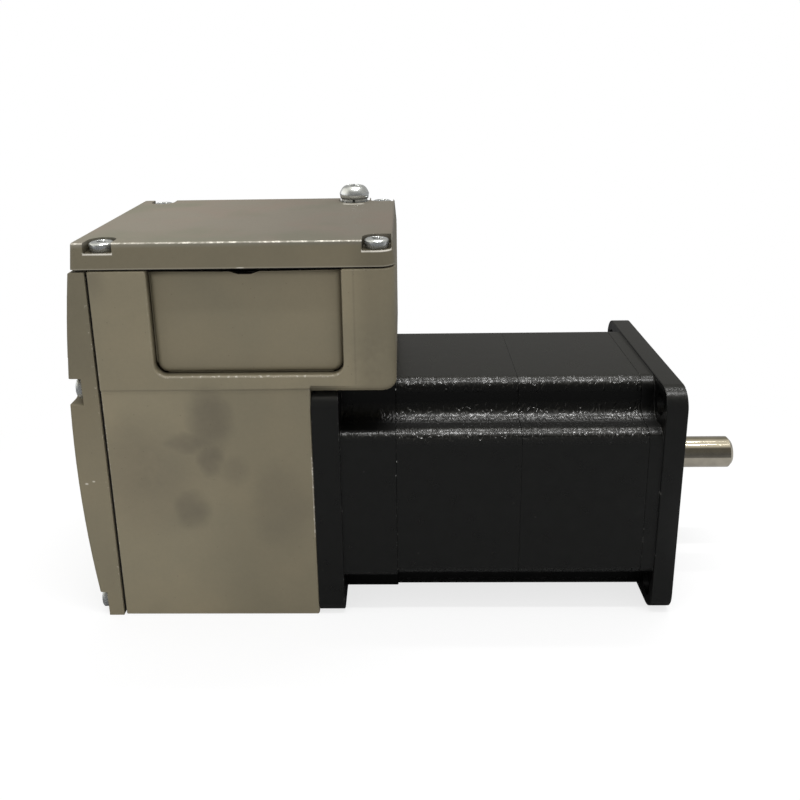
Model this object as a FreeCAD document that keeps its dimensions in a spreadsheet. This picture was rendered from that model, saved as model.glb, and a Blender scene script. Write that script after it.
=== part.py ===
import FreeCAD, Part
import os
import re
import Sketcher
from FreeCAD import Placement, Rotation, Vector

# Integrated stepper motor with a 57 mm frame, modelled in millimetres.
# Origin on the shaft axis in the mounting face, +X out along the shaft, +Z up.

DRIVING_SIZES = (
    # Mounting flange and front end bell
    ("flange_size", 57.2, "side of the mounting flange"),
    ("flange_thickness", 4.8, "front flange"),
    ("flange_corner", 5.0, "corner radius of the front flange"),
    ("pilot_diameter", 38.1, "centring boss"),
    ("pilot_height", 1.6, "centring boss"),
    ("bolt_spacing", 47.14, "mounting holes, side of their square"),
    ("bolt_hole", 5.2, "mounting holes"),
    ("bell_step", 3.1, "front bell behind its flange"),
    ("bearing_lip", 0.6, "bearing seat floor behind the mounting face"),
    ("bell_front_wall", 3.3, "front bell in front of the coils"),
    # Cross-shaped motor body
    ("body_size", 56.0, "motor body across its flats"),
    ("arm_width", 37.8, "width of each flat"),
    ("lip_fillet", 3.4, "outer edges of the corner notches"),
    ("rear_lip_fillet", 2.2, "outer edges of the rear bell's notches"),
    ("root_fillet", 4.2, "inner edges of the corner notches"),
    ("stack_length", 28.65, "each stator half stack"),
    ("stack_bore", 30.3, "stator bore"),
    ("pole_width", 3.2, "stator pole neck"),
    ("pole_count", 12, "stator poles"),
    ("slot_mouth", 1.5, "gap between two pole shoes"),
    ("shoe_lip", 1.15, "pole shoe at its tip"),
    ("shoe_root", 1.85, "pole shoe at the neck"),
    ("slot_depth", 6.65, "bore to the floor of a coil slot"),
    ("tooth_count", 50, "rotor teeth"),
    ("tooth_gap", 0.95, "gap between two teeth"),
    ("tooth_depth", 0.8, "teeth of the rotor and the stator"),
    ("coil_bottom", 2.2, "coil above the stator bore"),
    ("coil_height", 2.9, "coil along the pole"),
    ("coil_side", 2.2, "coil beside the pole"),
    ("coil_slack", 0.35, "coil to pole"),
    ("coil_overhang", 3.4, "end turns beyond the stack"),
    ("insulator_thickness", 0.6, "insulating end plates"),
    ("insulator_rim", 0.9, "outer band of an end plate"),
    ("coil_room", 0.8, "behind the end turns"),
    ("chamber_room", 0.3, "round the insulating end plates"),
    ("tie_offset", 17.3, "tie bolts from the axis, both ways"),
    ("tie_diameter", 3.0, "tie bolts"),
    ("tie_engagement", 6.0, "tie bolts into the front bell"),
    # Rear end bell
    ("rear_bell_length", 12.85, "rear bell in front of its flange"),
    ("rear_flange_thickness", 6.2, "rear flange"),
    ("rear_flange_corner", 3.5, "corner radius of the rear flange"),
    ("seat_setback", 4.4, "stack to the rear bearing"),
    ("preload_height", 1.0, "preload washer, fitted"),
    ("preload_thickness", 0.4, "preload washer, metal"),
    ("pickup_recess", 4.05, "recess for the magnet hub"),
    ("pickup_radius", 10.0, "recess for the magnet hub"),
    ("lead_height", 19.0, "phase leads above the axis"),
    ("lead_diameter", 1.8, "phase lead with its sleeve"),
    ("lead_pitch", 2.2, "between two leads"),
    ("lead_count", 3, "phase leads"),
    ("grommet_radius", 3.9, "grommet in the rear bell"),
    ("grommet_length", 4.0, "grommet in the rear bell"),
    # Shaft and bearings
    ("shaft_diameter", 8.0, "output shaft and bearing journals"),
    ("shaft_reach", 21.5, "shaft beyond the mounting face"),
    ("shaft_chamfer", 0.8, "shaft ends"),
    ("shaft_relief", 0.25, "grinding relief, depth"),
    ("shaft_relief_width", 1.6, "grinding relief, inside the pilot"),
    ("shaft_seat", 10.0, "shaft under the rotor stacks"),
    ("shaft_room", 0.5, "round the shaft in the bells"),
    ("tail_diameter", 6.0, "shaft tail for the magnet hub"),
    ("bearing_diameter", 22.0, "bearing outside"),
    ("bearing_width", 7.0, "bearing rings"),
    ("ball_diameter", 3.97, "bearing balls"),
    ("ball_count", 7, "bearing balls"),
    ("ball_circle", 15.0, "bearing pitch circle"),
    ("race_shoulder", 1.5, "race shoulders from the pitch circle"),
    ("race_clearance", 0.03, "ball to race"),
    ("cage_thickness", 0.8, "ball cage"),
    ("cage_width", 5.2, "ball cage"),
    ("cage_clearance", 0.06, "ball to cage"),
    ("hub_wall", 2.3, "bell round a bearing"),
    ("fit_clearance", 0.01, "seats and press seats, on the radius"),
    ("ring_relief", 0.4, "inner ring to the bell"),
    # Rotor
    ("air_gap", 0.2, "rotor to stator"),
    ("rotor_stack_length", 12.0, "each toothed stack"),
    ("magnet_thickness", 3.0, "rotor magnets"),
    ("magnet_setback", 1.4, "magnet below the tooth roots"),
    ("section_count", 2, "rotor sections"),
    ("hub_radius", 5.0, "magnet hub"),
    ("hub_gap", 0.6, "magnet hub to the rear bell"),
    ("hub_length", 6.2, "magnet hub"),
    ("hub_web", 0.6, "hub web between shaft and magnet"),
    ("pickup_magnet", 2.4, "position magnet thickness"),
    # Electronics housing
    ("housing_width", 57.2, "housing across"),
    ("housing_depth", 47.15, "housing behind the motor"),
    ("housing_drop", 28.6, "housing below the axis"),
    ("housing_top", 0.2, "housing above the rear cover's top"),
    ("housing_wall", 3.0, "housing walls"),
    ("overhang", 19.35, "connector compartment over the motor"),
    ("overhang_clearance", 0.3, "compartment over the rear flange"),
    ("compartment_floor", 3.2, "under the connector compartment"),
    ("deck_thickness", 6.6, "solid deck between the compartments"),
    ("nose_corner", 3.5, "front corners of the compartment"),
    ("nose_edge", 2.2, "lower front edge of the compartment"),
    ("machined_step", 0.2, "machined lower sides"),
    ("machined_height", 29.9, "top of the machined sides"),
    ("screw_inset", 3.6, "cover screws from the outer side"),
    ("screw_block", 3.4, "metal round a cover screw"),
    ("passage_length", 14.0, "passage between the compartments"),
    ("passage_width", 30.0, "passage between the compartments"),
    ("passage_back", 9.4, "passage to the rear face"),
    # Side openings and their inserts
    ("insert_front", 11.6, "opening behind the compartment nose"),
    ("insert_length", 42.15, "side opening"),
    ("insert_sill", 1.1, "lower edge of the opening above the compartment floor"),
    ("insert_corner", 2.8, "lower corners of the opening"),
    ("insert_clearance", 0.15, "insert in its opening"),
    ("insert_setback", 2.0, "insert face behind the housing side"),
    ("insert_headroom", 0.8, "insert top below the housing top"),
    ("insert_notch_width", 6.4, "notch in the top of an insert"),
    ("insert_notch_depth", 0.6, "notch in the top of an insert"),
    ("insert_lip", 0.9, "inner lip beyond the opening"),
    ("insert_lip_thickness", 1.6, "inner lip"),
    ("seal_thickness", 0.6, "insert seal"),
    # Lid and rear cover
    ("lid_gasket", 0.4, "lid gasket"),
    ("gasket_inset", 0.8, "gaskets inside the outer edge"),
    ("lid_height", 5.8, "lid"),
    ("lid_overlap", 3.2, "lid beyond the housing, over the rear cover"),
    ("lid_draft", 5.0, "draft of the lid's sides, degrees"),
    ("lid_front_corner", 3.5, "front corners of the lid"),
    ("lid_rear_corner", 1.2, "rear corners of the lid"),
    ("lid_edge", 0.6, "top edge of the lid"),
    ("lid_hollow", 3.0, "hollow under the lid"),
    ("lid_screw_front", 3.9, "front lid screws behind the nose"),
    ("lid_screw_rear", 2.8, "rear lid screws before the rear face"),
    ("lid_pocket_width", 6.2, "screw pockets in the lid"),
    ("lid_pocket_depth", 2.3, "screw pockets in the lid"),
    ("lid_pocket_end", 3.2, "screw pocket beyond the screw"),
    ("lid_pocket_corner", 2.9, "inner corners of the screw pockets"),
    ("cover_gasket", 0.5, "rear cover gasket"),
    ("cover_height", 57.2, "rear cover above the axis"),
    ("cover_head", 3.75, "rear cover depth at its top"),
    ("cover_foot", 4.6, "rear cover depth at its foot"),
    ("cover_bow", 306.0, "radius of the bowed back"),
    ("cover_edge", 0.8, "rounded edges of the rear cover"),
    ("cover_floor", 3.5, "screw pocket floor from the gasket"),
    ("cover_hollow", 2.6, "hollow inside the rear cover"),
    ("cover_screw_upper", 29.6, "upper cover screws above the axis"),
    ("cover_screw_lower", 25.4, "lower cover screws below the axis"),
    ("cover_pocket_half", 3.2, "half height of a screw pocket"),
    ("cover_pocket_end", 3.1, "screw pocket beyond the screw"),
    ("cover_pocket_corner", 2.9, "inner corners of the screw pockets"),
    # Fasteners
    ("screw_diameter", 3.0, "cover screws"),
    ("screw_head", 5.4, "cover screw heads"),
    ("screw_head_height", 2.1, "cover screw heads"),
    ("screw_length", 10.0, "cover screws below their heads"),
    ("screw_play", 0.2, "clearance holes, on the radius"),
    ("thread_clearance", 0.02, "threaded holes, on the radius"),
    ("earth_diameter", 4.0, "earth screw"),
    ("earth_head", 7.9, "earth screw head"),
    ("earth_head_height", 3.5, "earth screw head"),
    ("earth_length", 5.4, "earth screw below its head"),
    ("earth_setback", 11.3, "earth screw behind the nose"),
    ("earth_side", 4.9, "earth screw from the lid's side"),
    ("earth_pocket_half", 4.1, "earth pocket half width"),
    ("earth_pocket_end", 4.1, "earth pocket beyond the screw"),
    ("earth_pocket_depth", 0.7, "earth pocket"),
    ("earth_pocket_corner", 4.0, "inner corners of the earth pocket"),
    ("earth_boss", 3.8, "boss under the earth screw, radius"),
    ("tooth_washer", 0.5, "toothed washer thickness"),
    ("tooth_washer_diameter", 7.6, "toothed washer"),
    ("washer_teeth", 10, "toothed washer"),
    ("spring_washer", 0.9, "spring washer height"),
    ("spring_washer_diameter", 7.0, "spring washer"),
    ("washer_slit", 0.7, "slit in the spring washer"),
    ("joint_screw_side", 3.6, "housing screws from the inner sides"),
    ("joint_screw_height", 9.0, "housing screws above and below the axis"),
    ("joint_screw_length", 8.0, "housing screws below their heads"),
    # Boards
    ("board_thickness", 1.6, "circuit boards"),
    ("board_side", 2.1, "power and control boards to the inner sides"),
    ("board_low", 20.8, "boards below the axis"),
    ("board_high", 23.0, "boards above the axis"),
    ("power_standoff", 3.0, "power board to the housing wall"),
    ("board_gap", 20.0, "between the two boards"),
    ("spacer_diameter", 4.6, "board spacers"),
    ("spacer_side", 3.5, "spacers from the sides of the boards"),
    ("spacer_height", 17.0, "spacers above and below the axis"),
    ("board_screw", 2.5, "board screws"),
    ("board_screw_head", 4.4, "board screw heads"),
    ("board_screw_bite", 2.0, "board screws into the casting"),
    ("capacitor_diameter", 12.5, "link capacitors"),
    ("capacitor_length", 16.0, "link capacitors"),
    ("capacitor_pitch", 15.0, "between the link capacitors"),
    ("capacitor_height", 8.0, "link capacitors below the axis"),
    ("capacitor_edge", 1.0, "rounded can edges"),
    ("transistor_count", 6, "power transistors"),
    ("transistor_gap", 1.1, "transistors to the screws and spacers beside them"),
    ("transistor_width", 4.6, "power transistor"),
    ("transistor_height", 5.8, "power transistor"),
    ("transistor_thickness", 2.4, "power transistor"),
    ("sensor_size", 5.0, "position sensor chip"),
    ("sensor_thickness", 1.4, "position sensor chip"),
    ("chip_size", 12.0, "controller chip"),
    ("chip_thickness", 1.4, "controller chip"),
    ("connector_board_lift", 4.0, "connector board above the compartment floor"),
    ("connector_board_side", 1.6, "connector board to the screw blocks"),
    ("connector_board_front", 6.5, "connector board behind the nose"),
    ("connector_board_rear", 3.0, "connector board to the rear of the compartment"),
    ("post_side", 2.5, "connector board posts from its sides"),
    ("post_inset", 3.0, "connector board posts from its ends"),
    ("link_thickness", 4.0, "board link"),
    ("link_width", 24.0, "board link"),
    ("link_drop", 8.0, "board link below the top of the control board"),
    ("connector_wall", 1.0, "connector shrouds"),
    ("connector_height", 9.5, "connector shrouds"),
    ("connector_depth", 9.0, "connector shrouds along the board"),
    ("supply_width", 14.0, "supply connector"),
    ("signal_width", 26.0, "signal connector"),
    ("bus_width", 20.0, "bus connector"),
    ("supply_pins", 2, "supply connector"),
    ("signal_pins", 8, "signal connector"),
    ("bus_pins", 6, "bus connector"),
    ("pin_side", 1.0, "connector pins"),
    ("pin_height", 6.0, "connector pins above their floor"),
    ("connector_gap", 3.0, "between connectors"),
    ("switch_count", 4, "slide switches"),
    ("switch_pitch", 2.54, "between two sliders"),
    ("switch_width", 6.4, "switch body across the sliders"),
    ("switch_height", 3.6, "switch body"),
    ("switch_margin", 1.4, "switch body beyond the outer sliders"),
    ("slider_side", 1.2, "slider"),
    ("slider_height", 1.9, "slider"),
    ("slider_travel", 1.2, "slider"),
    ("slider_clearance", 0.1, "slider in its slot"),
    ("slot_floor", 1.1, "depth of a slider slot"),
)

doc = FreeCAD.newDocument("integrated_stepper_motor")
sheet = doc.addObject("Spreadsheet::Sheet", "sizes")
for row, (alias, value, note) in enumerate(DRIVING_SIZES, start=1):
    sheet.set("A%d" % row, note)
    sheet.set("B%d" % row, str(value))
    sheet.setAlias("B%d" % row, alias)
doc.recompute()
ALIASES = {alias for alias, value, note in DRIVING_SIZES}


def bind(text):
    """Give an expression the sheet's name before each alias."""
    return re.sub(r"[A-Za-z_]\w*", lambda word: "sizes." + word[0] if word[0] in ALIASES else word[0], text)


def number(text):
    """Value of an expression with the sheet as it stands."""
    return float(sheet.evalExpression(bind(text)))


def minus(text):
    return "-(%s)" % text


def spun(radial, across, angle):
    """Expressions for a point given along and across a ray at an angle in degrees."""
    return ("(%s) * cos(%s) - (%s) * sin(%s)" % (radial, angle, across, angle),
            "(%s) * sin(%s) + (%s) * cos(%s)" % (radial, angle, across, angle))


# Stations along the shaft axis, all measured from the mounting face
BELL_BACK = "(-flange_thickness - bell_step)"
STACK_MIDDLE = "(%s - stack_length)" % BELL_BACK
STACK_BACK = "(%s - 2 * stack_length)" % BELL_BACK
REAR_STEP = "(%s - rear_bell_length)" % STACK_BACK
REAR_FACE = "(%s - rear_flange_thickness)" % REAR_STEP
FRONT_RING_FACE = "(-bearing_lip)"
FRONT_RING_BACK = "(-bearing_lip - bearing_width)"
REAR_RING_FACE = "(%s - seat_setback)" % STACK_BACK
REAR_RING_BACK = "(%s - bearing_width)" % REAR_RING_FACE
REAR_SEAT_FLOOR = "(%s - preload_height)" % REAR_RING_BACK
PICKUP_FLOOR = "(%s + pickup_recess)" % REAR_FACE
HUB_FRONT = "(%s - hub_gap)" % PICKUP_FLOOR
HUB_BACK = "(%s - hub_length)" % HUB_FRONT
MAGNET_FACE = "(%s + pickup_magnet)" % HUB_BACK
TAIL_END = "(%s + hub_web)" % MAGNET_FACE
WALL_BACK = "(%s - housing_wall)" % REAR_FACE
NOSE = "(%s + overhang)" % REAR_FACE
HOUSING_REAR = "(%s - housing_depth)" % REAR_FACE
COVER_FACE = "(%s - cover_gasket)" % HOUSING_REAR
LID_REAR = "(%s - cover_gasket - lid_overlap)" % HOUSING_REAR
POWER_FRONT = "(%s - power_standoff)" % WALL_BACK
POWER_BACK = "(%s - board_thickness)" % POWER_FRONT
CONTROL_FRONT = "(%s - board_gap)" % POWER_BACK
CONTROL_BACK = "(%s - board_thickness)" % CONTROL_FRONT

# Levels above the shaft axis
WIDE = "max(housing_width; body_size)"
HALF_WIDE = "(%s / 2)" % WIDE
HOUSING_TOP = "(cover_height + housing_top)"
OVERHANG_LEVEL = "(%s + overhang_clearance)" % HALF_WIDE
FLOOR_LEVEL = "(%s + compartment_floor)" % OVERHANG_LEVEL
CEILING_LEVEL = "(%s - deck_thickness)" % FLOOR_LEVEL
INSERT_SILL = "(%s + insert_sill)" % FLOOR_LEVEL
LID_BASE = "(%s + lid_gasket)" % HOUSING_TOP
LID_TOP = "(%s + lid_height)" % LID_BASE
CONNECTOR_BOARD_LEVEL = "(%s + connector_board_lift)" % FLOOR_LEVEL
CONNECTOR_BOARD_TOP = "(%s + board_thickness)" % CONNECTOR_BOARD_LEVEL
SWITCH_TOP = "(%s + switch_height)" % CONNECTOR_BOARD_TOP

# Places that several pieces share
SCREW_SIDE = "(%s - screw_inset)" % HALF_WIDE
BLOCK_SIDE = "(%s - screw_block)" % SCREW_SIDE
INNER_SIDE = "(%s - housing_wall)" % HALF_WIDE
LID_SCREW_FRONT = "(%s - lid_screw_front)" % NOSE
LID_SCREW_REAR = "(%s + lid_screw_rear)" % HOUSING_REAR
EARTH_X = "(%s - earth_setback)" % NOSE
EARTH_SIDE = "(%s - earth_side)" % HALF_WIDE
OPENING_FRONT = "(%s - insert_front)" % NOSE
OPENING_REAR = "(%s - insert_length)" % OPENING_FRONT
CAVITY_FRONT = "(%s - housing_wall)" % NOSE
CAVITY_REAR = "(%s + housing_wall)" % HOUSING_REAR
BOARD_SIDE = "(%s - board_side)" % INNER_SIDE
SPACER_SIDE = "(%s - spacer_side)" % BOARD_SIDE
JOINT_SIDE = "(%s - joint_screw_side)" % INNER_SIDE
CONNECTOR_BOARD_FRONT = "(%s - connector_board_front)" % NOSE
CONNECTOR_BOARD_REAR = "(%s + connector_board_rear)" % CAVITY_REAR
CONNECTOR_BOARD_SIDE = "(%s - connector_board_side)" % BLOCK_SIDE
POST_SIDE = "(%s - post_side)" % CONNECTOR_BOARD_SIDE
STACK_RADIUS = "(stack_bore / 2)"
ROTOR_RADIUS = "(stack_bore / 2 - air_gap)"
COIL_TOP = "(stack_bore / 2 + coil_bottom + coil_height)"
COIL_HALF = "(pole_width / 2 + coil_slack + coil_side)"
COIL_CORNER = "sqrt(%s ^ 2 + %s ^ 2)" % (COIL_TOP, COIL_HALF)
INSULATOR_FLOOR = "(%s + coil_slack)" % COIL_CORNER
INSULATOR_RADIUS = "(%s + insulator_rim)" % INSULATOR_FLOOR
COIL_CHAMBER = "(%s + chamber_room)" % INSULATOR_RADIUS
BEARING_SEAT = "(bearing_diameter / 2 + fit_clearance)"
HUB_OUTSIDE = "(bearing_diameter / 2 + hub_wall)"
SIDES = (1, -1)
TIE_SPOTS = [("%d * tie_offset" % y, "%d * tie_offset" % z) for y in SIDES for z in SIDES]
JOINT_SPOTS = [("%d * %s" % (y, JOINT_SIDE), "%d * joint_screw_height" % z) for y in SIDES for z in SIDES]
SPACER_SPOTS = [("%d * %s" % (y, SPACER_SIDE), "%d * spacer_height" % z) for y in SIDES for z in SIDES]
LID_SPOTS = [(x, "%d * %s" % (y, SCREW_SIDE)) for x in (LID_SCREW_FRONT, LID_SCREW_REAR) for y in SIDES]
COVER_SPOTS = [("%d * %s" % (y, SCREW_SIDE), z)
               for y in SIDES for z in ("cover_screw_upper", "(-cover_screw_lower)")]
LEAD_SPOTS = ["lead_pitch * (%d - (lead_count - 1) / 2)" % lead for lead in range(int(number("lead_count")))]

pieces = []


def keep(item, label):
    """Name a finished sub-part and put it on the list of files."""
    item.Label = label
    pieces.append(item)
    return item


class Body:
    """A body whose sketches and features take every size from the sheet."""

    AXES = {"YZ": ("y", "z", "x"), "XY": ("x", "y", "z"), "XZ": ("x", "z", "-y")}

    def __init__(self, label, solids_apart=False):
        self.label = label
        self.body = doc.addObject("PartDesign::Body", label)
        self.body.AllowCompound = solids_apart
        keep(self.body, label)

    def origin(self, role):
        return next(part for part in self.body.Origin.OriginFeatures if part.Role == role)

    def sketch(self, plane, x="0", y="0", z="0", turn="0"):
        """Sketch on an origin plane, moved to a place and turned about its normal."""
        sketch = self.body.newObject("Sketcher::SketchObject", self.label + "_sketch")
        sketch.AttachmentSupport = [(self.origin(plane + "_Plane"), "")]
        sketch.MapMode = "FlatFace"
        place = {"x": x, "y": y, "z": z, "-y": minus(y)}
        for local, source in zip("xyz", self.AXES[plane]):
            sketch.setExpression("AttachmentOffset.Base." + local, bind(place[source]))
        if turn != "0":
            about_normal = Rotation(Vector(0, 0, 1), number(turn))
            sketch.AttachmentOffset = Placement(sketch.AttachmentOffset.Base, about_normal)
            sketch.setExpression("AttachmentOffset.Rotation.Angle", bind(turn))
        return sketch

    def feature(self, kind, **settings):
        """Add a feature, set its plain values, then bind those given as text."""
        item = self.body.newObject("PartDesign::" + kind, self.label + "_" + kind.lower())
        for name, value in settings.items():
            if isinstance(value, str):
                item.setExpression(name, bind(value))
            else:
                setattr(item, name, value)
        self.body.Tip = item
        doc.recompute()
        return item

    def pad(self, sketch, length, back=False, both=False, **more):
        return self.feature("Pad", Profile=sketch, Reversed=back, Midplane=both, Length=length, **more)

    def pocket(self, sketch, length, ahead=False, both=False):
        """Cut along the sketch's normal when ahead is true, else against it."""
        solid = self.body.Tip.Shape.Volume
        item = self.feature("Pocket", Profile=sketch, Reversed=ahead, Midplane=both, Length=length)
        if item.Shape.Volume > solid - 1e-4:
            raise RuntimeError(self.label + ": a pocket cuts nothing")
        return item

    def revolve(self, sketch, axis):
        return self.feature("Revolution", Profile=sketch, ReferenceAxis=(sketch, [axis]), Angle=360)

    def polar(self, originals, count):
        """Repeat features evenly round the shaft axis."""
        return self.feature("PolarPattern", Originals=originals, Axis=(self.origin("X_Axis"), [""]),
                            Angle=360, Occurrences=count)

    def fillet(self, edges, radius):
        if not edges:
            raise RuntimeError(self.label + ": no edge to round")
        return self.feature("Fillet", Base=(self.body.Tip, edges), Radius=radius)

    def edges(self, along, **spots):
        """Names of the edges along an axis whose middle has the given places, each a list of numbers."""
        found = []
        for index, edge in enumerate(self.body.Tip.Shape.Edges, start=1):
            middle = edge.BoundBox.Center
            span = {"x": edge.BoundBox.XLength, "y": edge.BoundBox.YLength, "z": edge.BoundBox.ZLength}
            if span[along] < 0.7 * sum(span.values()):
                continue
            if all(any(abs(getattr(middle, axis) - spot) < 0.01 for spot in places)
                   for axis, places in spots.items()):
                found.append("Edge%d" % index)
        return found


def hold(sketch, shape, point, across, up):
    """Hold a point of a sketch by two dimensions from its origin."""
    for kind, text, axis in (("DistanceX", across, -2), ("DistanceY", up, -1)):
        value = number(text)
        if abs(value) < 1e-9:
            sketch.addConstraint(Sketcher.Constraint("PointOnObject", shape, point, axis))
        else:
            index = sketch.addConstraint(Sketcher.Constraint(kind, -1, 1, shape, point, value))
            sketch.setExpression("Constraints[%d]" % index, bind(text))


def polygon(sketch, corners):
    """Closed outline through corners, each a pair of expressions."""
    spots = [Vector(number(across), number(up), 0) for across, up in corners]
    count = len(spots)
    first = sketch.GeometryCount
    for index in range(count):
        sketch.addGeometry(Part.LineSegment(spots[index], spots[(index + 1) % count]), False)
    for index in range(count):
        after = first + (index + 1) % count
        sketch.addConstraint(Sketcher.Constraint("Coincident", first + index, 2, after, 1))
    for index, (across, up) in enumerate(corners):
        hold(sketch, first + index, 1, across, up)
    return sketch


def rectangle(sketch, left, right, low, high):
    return polygon(sketch, [(left, low), (right, low), (right, high), (left, high)])


def circle(sketch, radius, across="0", up="0"):
    centre = Vector(number(across), number(up), 0)
    shape = sketch.addGeometry(Part.Circle(centre, Vector(0, 0, 1), number(radius)), False)
    hold(sketch, shape, 3, across, up)
    index = sketch.addConstraint(Sketcher.Constraint("Radius", shape, number(radius)))
    sketch.setExpression("Constraints[%d]" % index, bind(radius))
    return sketch


def circles(sketch, radius, spots):
    for across, up in spots:
        circle(sketch, radius, across, up)
    return sketch


def rod(radius, front, back, y="0", z="0"):
    """Cylinder along the shaft axis between two stations."""
    item = doc.addObject("Part::Cylinder", "rod")
    item.setExpression("Radius", bind(radius))
    item.setExpression("Height", bind("(%s) - (%s)" % (front, back)))
    item.Placement = Placement(Vector(), Rotation(Vector(0, 1, 0), 90))
    for axis, place in zip("xyz", (back, y, z)):
        item.setExpression("Placement.Base." + axis, bind(place))
    return item


def post(radius, low, high, x, y):
    """Upright cylinder between two levels."""
    item = doc.addObject("Part::Cylinder", "post")
    item.setExpression("Radius", bind(radius))
    item.setExpression("Height", bind("(%s) - (%s)" % (high, low)))
    for axis, place in zip("xyz", (x, y, low)):
        item.setExpression("Placement.Base." + axis, bind(place))
    return item


def block(x, y, z):
    """Box between two places on each axis."""
    item = doc.addObject("Part::Box", "block")
    for name, axis, (low, high) in zip(("Length", "Width", "Height"), "xyz", (x, y, z)):
        item.setExpression(name, bind("(%s) - (%s)" % (high, low)))
        item.setExpression("Placement.Base." + axis, bind(low))
    return item


def centred(middle, size):
    """Two ends of a size that lies evenly about a middle."""
    return ("(%s) - (%s) / 2" % (middle, size), "(%s) + (%s) / 2" % (middle, size))


def ring(outer, inner, front, back):
    """Plain ring round the shaft axis."""
    return cut(rod(outer, front, back), [rod(inner, front, back)])


def cut(base, tools):
    item = base
    for tool in tools:
        step = doc.addObject("Part::Cut", "cut")
        step.Base = item
        step.Tool = tool
        item = step
    return item


def together(label, items):
    """Several separate solids in one sub-part."""
    item = doc.addObject("Part::Compound", label)
    item.Links = items
    return keep(item, label)


def motor_section(body, station, length, lip):
    """Cross-shaped length of the motor body with its rounded corner notches."""
    half = "body_size / 2"
    arm = "arm_width / 2"
    quarter = [(half, arm), (arm, arm), (arm, half)]
    corners = []
    for across, up, reverse in ((1, 1, False), (-1, 1, True), (-1, -1, False), (1, -1, True)):
        turn = [("%d * %s" % (across, u), "%d * %s" % (up, v)) for u, v in quarter]
        corners += turn[::-1] if reverse else turn
    body.pad(polygon(body.sketch("YZ", x=station), corners), length)
    flat, notch = number(half), number(arm)
    middle = [number("%s + (%s) / 2" % (station, length))]
    lips = body.edges("x", x=middle, y=[flat, -flat], z=[notch, -notch])
    lips += body.edges("x", x=middle, y=[notch, -notch], z=[flat, -flat])
    body.fillet(lips, lip)
    body.fillet(body.edges("x", x=middle, y=[notch, -notch], z=[notch, -notch]), "root_fillet")


def flange(body, back, thickness, corner, half, drop):
    """Flange as high above the axis as it is to each side, with its lower edge at its own drop."""
    body.pad(rectangle(body.sketch("YZ", x=back), minus(half), half, minus(drop), half), thickness)
    side = number(half)
    middle = [number("%s + (%s) / 2" % (back, thickness))]
    body.fillet(body.edges("x", x=middle, y=[side, -side], z=[side, -number(drop)]), corner)


def coil_chamber(body, station, depth, ahead):
    """Ring-shaped chamber round the bearing hub for the end turns of the coils."""
    sketch = circle(circle(body.sketch("YZ", x=station), COIL_CHAMBER), HUB_OUTSIDE)
    body.pocket(sketch, depth, ahead=ahead)


def front_end_bell():
    bell = Body("front_end_bell")
    half = "flange_size / 2"
    flange(bell, "-flange_thickness", "flange_thickness", "flange_corner", half, half)
    motor_section(bell, BELL_BACK, "bell_step", "lip_fillet")
    bell.pad(circle(bell.sketch("YZ"), "pilot_diameter / 2"), "pilot_height")
    bell.pocket(circle(bell.sketch("YZ", x="pilot_height"), "shaft_diameter / 2 + shaft_room"),
                "pilot_height + flange_thickness + bell_step")
    bell.pocket(circle(bell.sketch("YZ", x=BELL_BACK), BEARING_SEAT),
                "flange_thickness + bell_step - bearing_lip", ahead=True)
    bell.pocket(circle(bell.sketch("YZ", x=FRONT_RING_FACE), "ball_circle / 2 + race_shoulder"),
                "ring_relief", ahead=True)
    coil_chamber(bell, BELL_BACK, "flange_thickness + bell_step - bell_front_wall", True)
    spots = [("%d * bolt_spacing / 2" % y, "%d * bolt_spacing / 2" % z) for y in SIDES for z in SIDES]
    bell.pocket(circles(bell.sketch("YZ"), "bolt_hole / 2", spots), "flange_thickness")
    bell.pocket(circles(bell.sketch("YZ", x=BELL_BACK), "tie_diameter / 2 + thread_clearance", TIE_SPOTS),
                "tie_engagement", ahead=True)


HALF_POLE = "(180 / pole_count)"
TOOTH_PITCH = "(360 / tooth_count)"


def coil_slot(sketch, floor):
    """Coil slot between two poles, drawn along its own middle line from inside the bore."""
    def wall(radius):
        return "(%s) * tan(%s) - pole_width / 2 / cos(%s)" % (radius, HALF_POLE, HALF_POLE)

    inside = STACK_RADIUS + " - tooth_depth"
    lip = STACK_RADIUS + " + shoe_lip"
    root = STACK_RADIUS + " + shoe_root"
    upper = [(inside, "slot_mouth / 2"), (lip, "slot_mouth / 2"), (root, wall(root)), (floor, wall(floor))]
    return polygon(sketch, upper + [(across, minus(up)) for across, up in reversed(upper)])


def stator_stack(label, station):
    """Half of the laminated stack with wound poles and toothed pole shoes."""
    stack = Body(label)
    motor_section(stack, station, "stack_length", "lip_fillet")
    stack.pocket(circle(stack.sketch("YZ", x=station), STACK_RADIUS), "stack_length", ahead=True)
    stack.pocket(circles(stack.sketch("YZ", x=station), "tie_diameter / 2 + screw_play", TIE_SPOTS),
                 "stack_length", ahead=True)
    slot = stack.pocket(coil_slot(stack.sketch("YZ", x=station, turn=HALF_POLE),
                                  STACK_RADIUS + " + slot_depth"), "stack_length", ahead=True)
    teeth = stack.sketch("YZ", x=station)
    for step in (-1, 0, 1):
        angle = "%d * %s" % (step, TOOTH_PITCH)
        ends = ((STACK_RADIUS + " - tooth_depth", 1), (STACK_RADIUS + " + tooth_depth", 1),
                (STACK_RADIUS + " + tooth_depth", -1), (STACK_RADIUS + " - tooth_depth", -1))
        polygon(teeth, [spun(radius, "%d * tooth_gap / 2" % side, angle) for radius, side in ends])
    gaps = stack.pocket(teeth, "stack_length", ahead=True)
    stack.polar([slot, gaps], "pole_count")


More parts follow.
